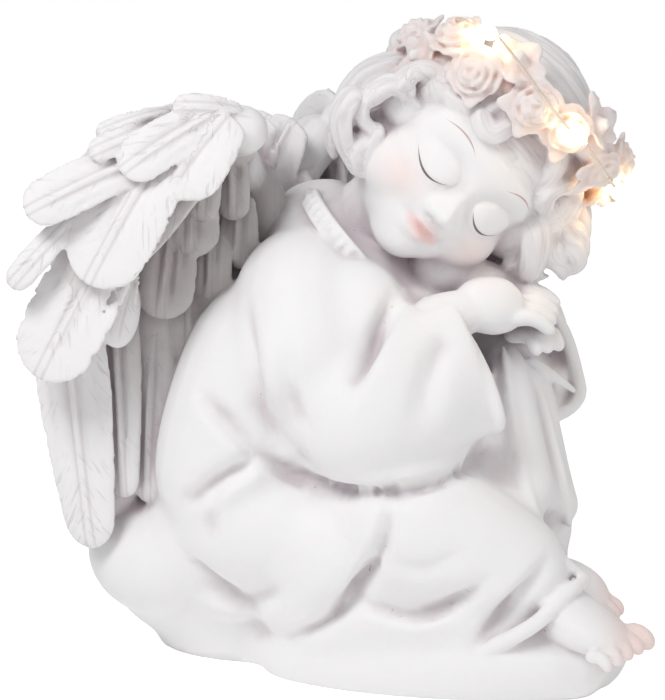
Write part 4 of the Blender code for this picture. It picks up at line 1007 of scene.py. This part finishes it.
def one_body(clay):
    """Drops every shell but the largest."""
    left = set(clay.verts)
    shells = []
    while left:
        shell, edge = set(), [left.pop()]
        while edge:
            vertex = edge.pop()
            shell.add(vertex)
            for link in vertex.link_edges:
                other = link.other_vert(vertex)
                if other in left:
                    left.remove(other)
                    edge.append(other)
        shells.append(shell)
    shells.sort(key=len)
    for shell in shells[:-1]:
        bmesh.ops.delete(clay, geom=list(shell), context="VERTS")


def levelled(clay):
    """Cuts the clay off flat at the height of the table, and closes it there."""
    everything = clay.verts[:] + clay.edges[:] + clay.faces[:]
    bmesh.ops.bisect_plane(clay, geom=everything, plane_co=(0, 0, 0), plane_no=(0, 0, 1), clear_inner=True)
    one_body(clay)
    rim = [e for e in clay.edges if e.is_boundary]
    bmesh.ops.contextual_create(clay, geom=rim)
    bmesh.ops.recalc_face_normals(clay, faces=clay.faces[:])
    bmesh.ops.triangulate(clay, faces=clay.faces[:])


def casting_mesh(sizes):
    GRAIN.samples.clear()
    clay = joined([robed_body(), to_mesh(extremities(), "extremities"), wings()] + dressed_head())
    grain = sizes.grain / UNIT * 1.0
    skin = Skin(fused(clay, grain, 1))
    skin.points = lid_lines(skin.points, skin.normals)
    mesh = skin.done()
    obj = helper("fine", mesh)
    thin = obj.modifiers.new("Thin", "DECIMATE")
    thin.ratio = min(1, sizes.triangles / sum(len(p.vertices) - 2 for p in mesh.polygons))
    clay = joined([evaluated(obj)])
    levelled(clay)
    for vertex in clay.verts:
        vertex.co = (np.array(vertex.co) + SHIFT) * SCALE
    return to_mesh(clay, "angel_casting")


# What the finish follows: how deep a point lies, what is blushed and what the lights reach


def spread(values, first, second, turns):
    """Values averaged with their neighbours, so many times over."""
    count = np.bincount(first, minlength=len(values)) + np.bincount(second, minlength=len(values)) + 1.0
    for _ in range(turns):
        total = values.copy()
        for axis in range(values.shape[1]):
            total[:, axis] += np.bincount(first, values[second, axis], len(values))
            total[:, axis] += np.bincount(second, values[first, axis], len(values))
        values = total / count[:, None]
    return values


def sheltered(mesh, points, normals):
    """How much of the sky over each point is hidden by the casting itself within reach."""
    tree = BVHTree.FromPolygons([Vector(p) for p in points], [p.vertices[:] for p in mesh.polygons])
    golden = math.pi * (3 - math.sqrt(5))
    hidden = np.zeros(len(points))
    tried = np.zeros(len(points))
    starts = points + normals * SKY_LIFT
    for i in range(SKY_RAYS):
        height = 1 - 2 * (i + 0.5) / SKY_RAYS
        round_it = math.sqrt(1 - height**2)
        ray = Vector((round_it * math.cos(golden * i), round_it * math.sin(golden * i), height))
        slope = normals @ np.array(ray)
        for at in np.where(slope > 0.12)[0]:
            tried[at] += slope[at]
            if tree.ray_cast(Vector(starts[at]), ray, SKY_REACH)[0] is not None:
                hidden[at] += slope[at]
    return hidden / np.maximum(tried, 1e-6)


def keep(mesh, name, values):
    layer = mesh.attributes.new(name, "FLOAT", "POINT")
    layer.data.foreach_set("value", np.clip(values, 0, 1).astype(np.float32))


def finish_guides(mesh, sizes):
    count = len(mesh.vertices)
    points = read(mesh, "co")
    normals = read(mesh, "normal")
    edges = np.zeros(len(mesh.edges) * 2, np.int32)
    mesh.edges.foreach_get("vertices", edges)
    first, second = edges.reshape(-1, 2).T
    # Depth below the near surroundings follows the cuts that hold the wash; depth below the wider
    # surroundings marks broad hollows, where shade is painted in
    fine = ((spread(points, first, second, 6) - points) * normals).sum(1)
    broad = ((spread(points, first, second, 40) - points) * normals).sum(1)
    recess = np.clip(fine / FINE_RECESS, 0, 1) * 0.75 + np.clip(broad / BROAD_RECESS, 0, 1) * 0.5

    def keep_spread(name, values, turns):
        keep(mesh, name, spread(values[:, None] * 1.0, first, second, turns)[:, 0])

    keep_spread("recess", recess, 2)
    # The share of the sky that the casting hides, painted into the colour as shade
    shelter = sheltered(mesh, points, normals)
    keep_spread("shelter", shelter, 3)
    carved = points / SCALE / UNIT - SHIFT / UNIT
    kind, run, across, rim = GRAIN.read(carved)
    # Mask of the painted shade on the near wing's inner feathers, fading out towards the bottom
    inner = (kind == INNER_FEATHER) * np.clip((carved[:, 2] - 62) / 48, 0, 1)
    feathered = (kind == FEATHER) | (kind == INNER_FEATHER)
    keep_spread("inner", inner, 3)
    keep_spread("petals", kind == PETAL, 1)
    keep_spread("plume", feathered, 1)
    keep_spread("lock", kind == LOCK, 1)
    keep(mesh, "rim", rim)
    keep(mesh, "run", run / RUN_SPAN)
    keep(mesh, "across", across / RUN_SPAN + 0.5)
    f, l, u = in_head(carved).T / FACE_SIZE
    front = np.clip(normals @ FORWARD * 2, 0, 1) * (f > 8)
    side = np.abs(l)
    cheeks = 0.55 * bump(np.hypot((side - 14.5) / 5.5, (u + 11.5) / 5.0), 1.0) * front
    keep(mesh, "blush", cheeks)
    inside = np.clip(1.15 - (side / MOUTH_HALF_WIDTH) ** 2, 0, 1) ** 0.5
    lips = bump((u - MOUTH_HEIGHT + 0.3) / (2.6 - 0.25 * side), 1.0) * inside * front * (side < 6.5)
    keep(mesh, "lips", lips)
    x, y, z = carved.T
    tips = np.clip((x - 50) / 12, 0, 1) * (z > 94) * (z < 116) * (y < 2)
    toes = np.clip((x - 76) / 10, 0, 1) * (z > 8) * (z < 30) * (y < 0)
    keep(mesh, "skin", np.maximum(tips * (1 - np.clip((u + 30) / 8, 0, 1)), toes))
    near = np.full(count, 1.0)
    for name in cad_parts:
        if name.startswith("led_drop"):
            low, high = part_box(name)
            away = np.linalg.norm(points - np.array((low + high) / 2), axis=1)
            near = np.minimum(near, away)
    # Painted light: how strongly the resin round each light is warmed and made to glow
    keep(mesh, "glow", np.exp(-np.maximum(near - 0.002, 0) / sizes.light_reach))


# Materials


class Wiring:
    """Adds nodes to a material and joins them up."""

    def __init__(self, name):
        self.material = bpy.data.materials.new(name)
        self.material.use_nodes = True
        self.tree = self.material.node_tree
        self.shader = self.tree.nodes["Principled BSDF"]

    def node(self, kind, links=(), **values):
        made = self.tree.nodes.new("ShaderNode" + kind)
        for key, value in values.items():
            setattr(made, key, value)
        for socket, source in links:
            self.feed(made.inputs[socket], source)
        return made

    def feed(self, socket, source):
        if isinstance(source, (int, float, tuple)):
            socket.default_value = source
        else:
            self.tree.links.new(source, socket)

    def guide(self, name):
        return self.node("Attribute", attribute_name=name).outputs["Fac"]

    def math(self, operation, first, second=0.0):
        return self.node("Math", ((0, first), (1, second)), operation=operation).outputs[0]

    def plus(self, first, second):
        return self.math("ADD", first, second)

    def minus(self, first, second):
        return self.math("SUBTRACT", first, second)

    def times(self, first, second):
        return self.math("MULTIPLY", first, second)

    def surface(self, **sources):
        """Sets or feeds the shader's sockets, named with lines for spaces."""
        for name, source in sources.items():
            self.feed(self.shader.inputs[name.replace("_", " ")], source)

    def ramp(self, value, low, high, smooth=True):
        made = self.node("MapRange", (("Value", value), ("From Min", low), ("From Max", high)))
        made.interpolation_type = "SMOOTHSTEP" if smooth else "LINEAR"
        return made.outputs[0]

    def mix(self, share, first, second):
        made = self.node("Mix", data_type="RGBA")
        self.feed(made.inputs[0], share)
        self.feed(made.inputs[6], first)
        self.feed(made.inputs[7], second)
        return made.outputs[2]

    def place(self):
        return self.node("TexCoord").outputs["Object"]

    def noise(self, scale, detail=3.0, roughness=0.55, vector=None):
        vector = self.place() if vector is None else vector
        made = self.node("TexNoise", (("Vector", vector), ("Scale", scale), ("Detail", detail),
                                      ("Roughness", roughness)))
        return made.outputs["Fac"]

    def vector(self, *parts):
        return self.node("CombineXYZ", tuple(enumerate(parts))).outputs[0]


def painted_arc(w, side, height, centre, half, middle, rise, thickness):
    """A thin painted line on both sides of the face: an arch over centre, thinning to its ends."""
    across = w.math("DIVIDE", w.minus(side, centre), half)
    squared = w.times(across, across)
    arch = w.minus(middle, w.times(squared, rise))
    away = w.math("ABSOLUTE", w.minus(height, arch))
    wide = w.times(w.minus(1.0, squared), thickness)
    return w.ramp(w.minus(wide, away), 0.0, 0.18)


def resin_material(colours):
    w = Wiring("painted_white_resin")

    def colour(name):
        return (*getattr(colours, name), 1.0)

    # Wash and painted shade: mauve grey in the fine cuts is the wash, while broad hollows and places hidden
    # from the sky are darkened as painted shade
    recess = w.guide("recess")
    cloud = w.noise(60.0)
    shelter = w.ramp(w.guide("shelter"), 0.25, 0.95)
    deep = w.plus(w.times(recess, 0.75), w.times(shelter, 0.75))
    wash_and_shade = w.ramp(w.plus(deep, w.times(w.minus(cloud, 0.5), 0.3)), 0.05, 1.15)
    # Feathers are scored along their barbs, and hair along its strands
    run = w.times(w.guide("run"), RUN_SPAN)
    across = w.times(w.minus(w.guide("across"), 0.5), RUN_SPAN)
    aside = w.math("ABSOLUTE", across)
    over_barb = w.minus(w.times(run, 0.5), w.times(aside, 0.87))
    down_barb = w.plus(w.times(run, 0.087), w.times(aside, 0.05))
    flank = w.math("SIGN", across)
    barbs = w.noise(1.1, 3.0, 0.6, w.vector(over_barb, down_barb, w.times(flank, 7.3)))
    patches = w.ramp(w.noise(55.0), 0.40, 0.62)
    deep_barb = w.times(w.ramp(barbs, 0.45, 0.34), w.times(w.guide("plume"), patches))
    shaft = w.times(w.ramp(w.math("ABSOLUTE", w.minus(aside, 1.3)), 0.7, 0.1),
                   w.times(w.guide("plume"), w.ramp(w.guide("rim"), 1.0, 0.6)))
    combed = w.vector(w.times(across, 0.62), w.times(run, 0.06), 0.0)
    strands = w.noise(1.0, 2.0, 0.5, combed)
    deep_strand = w.times(w.ramp(strands, 0.56, 0.30), w.guide("lock"))
    scored = w.plus(w.times(deep_barb, 0.42), w.times(deep_strand, 0.42))
    scored = w.plus(scored, w.times(shaft, 0.35))
    carved_part = w.plus(w.times(w.guide("plume"), 0.08), w.times(w.guide("lock"), 0.20))
    carved_part = w.plus(carved_part, w.times(w.guide("petals"), 0.20))
    wash_and_shade = w.math("MINIMUM", w.plus(w.plus(wash_and_shade, carved_part), scored), 1.0)
    base = w.mix(wash_and_shade, colour("resin"), colour("wash_and_shade"))
    # Painted shade: the near wing's inner feathers under the canopy are darkened to a brown grey, the more
    # where the casting hides the sky
    inner = w.times(w.guide("inner"), w.plus(0.38, w.times(cloud, 0.45)))
    base = w.mix(w.times(inner, w.ramp(w.guide("shelter"), 0.02, 0.30)), base, colour("inner_wing_shade"))
    rosy = w.times(w.guide("petals"), w.plus(0.10, w.times(recess, 0.35)))
    base = w.mix(rosy, base, colour("blush"))
    # Dark specks where the wash was never wiped out of the deepest cuts
    fleck = w.noise(420.0, 5.0, 0.75)
    specks = w.times(w.ramp(fleck, 0.62, 0.68), w.ramp(recess, 0.6, 0.98))
    base = w.mix(w.times(specks, 0.8), base, colour("dust"))
    base = w.mix(w.times(w.guide("blush"), 0.55), base, colour("blush"))
    base = w.mix(w.times(w.guide("skin"), 0.42), base, colour("blush"))
    base = w.mix(w.times(w.guide("lips"), 0.62), base, colour("lips"))
    # Painted lines in the head's own axes, in carving units
    turned = w.node("Mapping", (("Vector", w.place()),), vector_type="TEXTURE")
    centre = (HEAD_CENTRE * UNIT + SHIFT) * SCALE
    turned.inputs["Location"].default_value = centre
    turned.inputs["Rotation"].default_value = Matrix(HEAD_AXES.T.tolist()).to_euler("XYZ")
    turned.inputs["Scale"].default_value = (UNIT * SCALE * FACE_SIZE,) * 3
    split = w.node("SeparateXYZ", ((0, turned.outputs[0]),))
    forward, aside, height = split.outputs
    side = w.math("ABSOLUTE", aside)
    front = w.times(w.ramp(forward, 11.0, 13.0), w.ramp(side, 21.0, 19.5))
    lash_middle = EYE_HEIGHT - 0.5 - LID_HEIGHT * 0.86
    lash = painted_arc(w, side, height, EYE_SIDE, EYE_HALF_WIDTH, lash_middle, -3.6, 0.42)
    brow = painted_arc(w, side, height, EYE_SIDE + 1.0, 6.2, BROW_HEIGHT + 1.2, 2.2, 0.30)
    base = w.mix(w.times(w.times(lash, front), 0.85), base, colour("lashes"))
    base = w.mix(w.times(w.times(brow, front), 0.7), base, colour("brows"))
    # Painted light: the resin round each light is tinted toward the light's warm colour and made to glow,
    # standing for the light the resin lets through
    glow = w.guide("glow")
    base = w.mix(w.times(glow, 0.35), base, colour("light"))
    w.surface(Base_Color=base)
    w.surface(Emission_Color=w.mix(w.ramp(glow, 0.1, 0.9), (1.0, 0.42, 0.10, 1), colour("light")))
    w.surface(Emission_Strength=w.times(w.math("POWER", glow, 2.4), 1.6))
    w.surface(Roughness=w.ramp(w.noise(220.0), -0.6, 1.2, smooth=False))
    w.surface(Specular_IOR_Level=0.3, Subsurface_Weight=0.12, Subsurface_Scale=1.0,
              Subsurface_Radius=(0.0009, 0.0007, 0.0006))
    grain = w.plus(w.noise(420.0, 4.0, 0.6), w.times(w.noise(1500.0, 2.0), 0.35))
    height = w.minus(w.times(grain, 0.35), scored)
    bumped = w.node("Bump", (("Height", height), ("Strength", 0.6), ("Distance", 0.0005)))
    w.surface(Normal=bumped.outputs[0])
    return w.material


def lamp_material(colours):
    w = Wiring("lit_clear_resin")
    cloud = w.noise(700.0)
    w.surface(Base_Color=w.mix(cloud, (1.0, 0.90, 0.70, 1), (1.0, 0.80, 0.50, 1)))
    w.surface(Emission_Color=w.mix(cloud, (1.0, 0.86, 0.58, 1), (1.0, 0.72, 0.36, 1)))
    w.surface(Emission_Strength=24.0, Roughness=0.12)
    return w.material


def wire_material(colours):
    w = Wiring("lacquered_copper")
    tarnish = w.noise(500.0)
    w.surface(Base_Color=w.mix(tarnish, (*colours.wire, 1.0), (0.93, 0.84, 0.72, 1)))
    w.surface(Roughness=w.ramp(tarnish, -0.5, 2.5, smooth=False))
    w.surface(Metallic=0.55, Coat_Weight=0.6)
    return w.material


def plain_material(name, colour, roughness):
    w = Wiring(name)
    w.surface(Base_Color=(*colour, 1), Roughness=roughness)
    return w.material


# Operators: one for each group of pieces


class FIGURINE_OT_cast_angel(bpy.types.Operator):
    """Carve and paint the resin angel with its wings, wreath, hands and feet"""

    bl_idname = "figurine.cast_angel"
    bl_label = "Cast Angel"

    def execute(self, context):
        sizes = context.scene.casting_sizes
        mesh = casting_mesh(sizes)
        mesh.shade_smooth()
        finish_guides(mesh, sizes)
        piece = helper("angel_casting", mesh)
        mesh.materials.append(resin_material(context.scene.finish_colours))
        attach(piece, "root")
        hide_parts("angel")
        return {"FINISHED"}


class FIGURINE_OT_light_string(bpy.types.Operator):
    """Round off and light the drops of the light string"""

    bl_idname = "figurine.light_string"
    bl_label = "Light String"

    def execute(self, context):
        colours = context.scene.finish_colours
        lit = lamp_material(colours)
        copper = wire_material(colours)
        for name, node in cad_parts.items():
            if name.startswith("led_drop"):
                node.data.materials.clear()
                node.data.materials.append(lit)
                node.data.shade_smooth()
            elif name.startswith("light_wire"):
                node.data.materials.clear()
                node.data.materials.append(copper)
                node.data.shade_smooth()
        return {"FINISHED"}


class FIGURINE_OT_stage(bpy.types.Operator):
    """Set a pale floor, soft light and the camera"""

    bl_idname = "figurine.stage"
    bl_label = "Stage"

    def execute(self, context):
        scene = context.scene
        stage = scene.stage_settings
        floor = bmesh.new()
        bmesh.ops.create_grid(floor, x_segments=8, y_segments=8, size=12.0)
        plane = helper("floor", to_mesh(floor, "floor"))
        ground = plain_material("pale_floor", stage.floor, 0.8)
        shader = ground.node_tree.nodes["Principled BSDF"]
        shader.inputs["Emission Color"].default_value = (1, 1, 1, 1)
        path = ground.node_tree.nodes.new("ShaderNodeLightPath")
        lift = ground.node_tree.nodes.new("ShaderNodeMapRange")
        lift.inputs["To Min"].default_value = 0.16
        lift.inputs["To Max"].default_value = stage.whiteness
        ground.node_tree.links.new(path.outputs["Is Camera Ray"], lift.inputs["Value"])
        ground.node_tree.links.new(lift.outputs[0], shader.inputs["Emission Strength"])
        plane.data.materials.append(ground)
        world = bpy.data.worlds.new("daylight")
        scene.world = world
        world.use_nodes = True
        sky = world.node_tree.nodes["Background"]
        sky.inputs["Color"].default_value = (1, 1, 1, 1)
        ray = world.node_tree.nodes.new("ShaderNodeLightPath")
        level = world.node_tree.nodes.new("ShaderNodeMapRange")
        level.inputs["To Min"].default_value = stage.daylight
        level.inputs["To Max"].default_value = 1.0
        world.node_tree.links.new(ray.outputs["Is Camera Ray"], level.inputs["Value"])
        world.node_tree.links.new(level.outputs[0], sky.inputs["Strength"])
        aim = Vector((0, 0, 0.1))
        for name, place, size, power in (("key", (-0.35, -0.55, 0.75), 0.35, stage.key),
                                         ("fill", (0.7, -0.5, 0.5), 0.5, stage.key * 0.3)):
            lamp = bpy.data.lights.new(name, "AREA")
            lamp.size = size
            lamp.energy = power
            holder = bpy.data.objects.new(name, lamp)
            scene.collection.objects.link(holder)
            holder.location = place
            holder.rotation_euler = (aim - Vector(place)).to_track_quat("-Z", "Y").to_euler()
        camera = bpy.data.cameras.new("camera")
        holder = bpy.data.objects.new("camera", camera)
        scene.collection.objects.link(holder)
        scene.camera = holder
        camera.lens = stage.lens
        camera.clip_start = 0.01
        middle = Vector((np.array([0, 0, 94.0]) * UNIT + SHIFT) * SCALE)
        back = -Vector(SEEN)
        holder.location = middle + back * stage.distance * SCALE
        holder.rotation_euler = (-back).to_track_quat("-Z", "Y").to_euler()
        scene.view_settings.view_transform = "Standard"
        return {"FINISHED"}


class FIGURINE_PT_panel(bpy.types.Panel):
    """Lists the steps that build the figurine"""

    bl_idname = "FIGURINE_PT_panel"
    bl_label = "Figurine"
    bl_space_type = "VIEW_3D"
    bl_region_type = "UI"
    bl_category = "Figurine"

    def draw(self, context):
        scene = context.scene
        for group in (scene.casting_sizes, scene.finish_colours, scene.stage_settings):
            for key in group.__annotations__:
                self.layout.prop(group, key)
        for operator in OPERATORS:
            self.layout.operator(operator.bl_idname)


GROUPS = {"casting_sizes": CastingSizes, "finish_colours": FinishColours, "stage_settings": StageSettings}
OPERATORS = (FIGURINE_OT_cast_angel, FIGURINE_OT_light_string, FIGURINE_OT_stage)
CLASSES = (*GROUPS.values(), *OPERATORS, FIGURINE_PT_panel)


def register():
    for cls in CLASSES:
        bpy.utils.register_class(cls)
    for name, group in GROUPS.items():
        setattr(bpy.types.Scene, name, bpy.props.PointerProperty(type=group))


def unregister():
    for name in GROUPS:
        delattr(bpy.types.Scene, name)
    for cls in reversed(CLASSES):
        bpy.utils.unregister_class(cls)


def main():
    register()
    bpy.ops.figurine.stage()
    bpy.ops.figurine.cast_angel()
    bpy.ops.figurine.light_string()


if __name__ == "__main__":
    main()
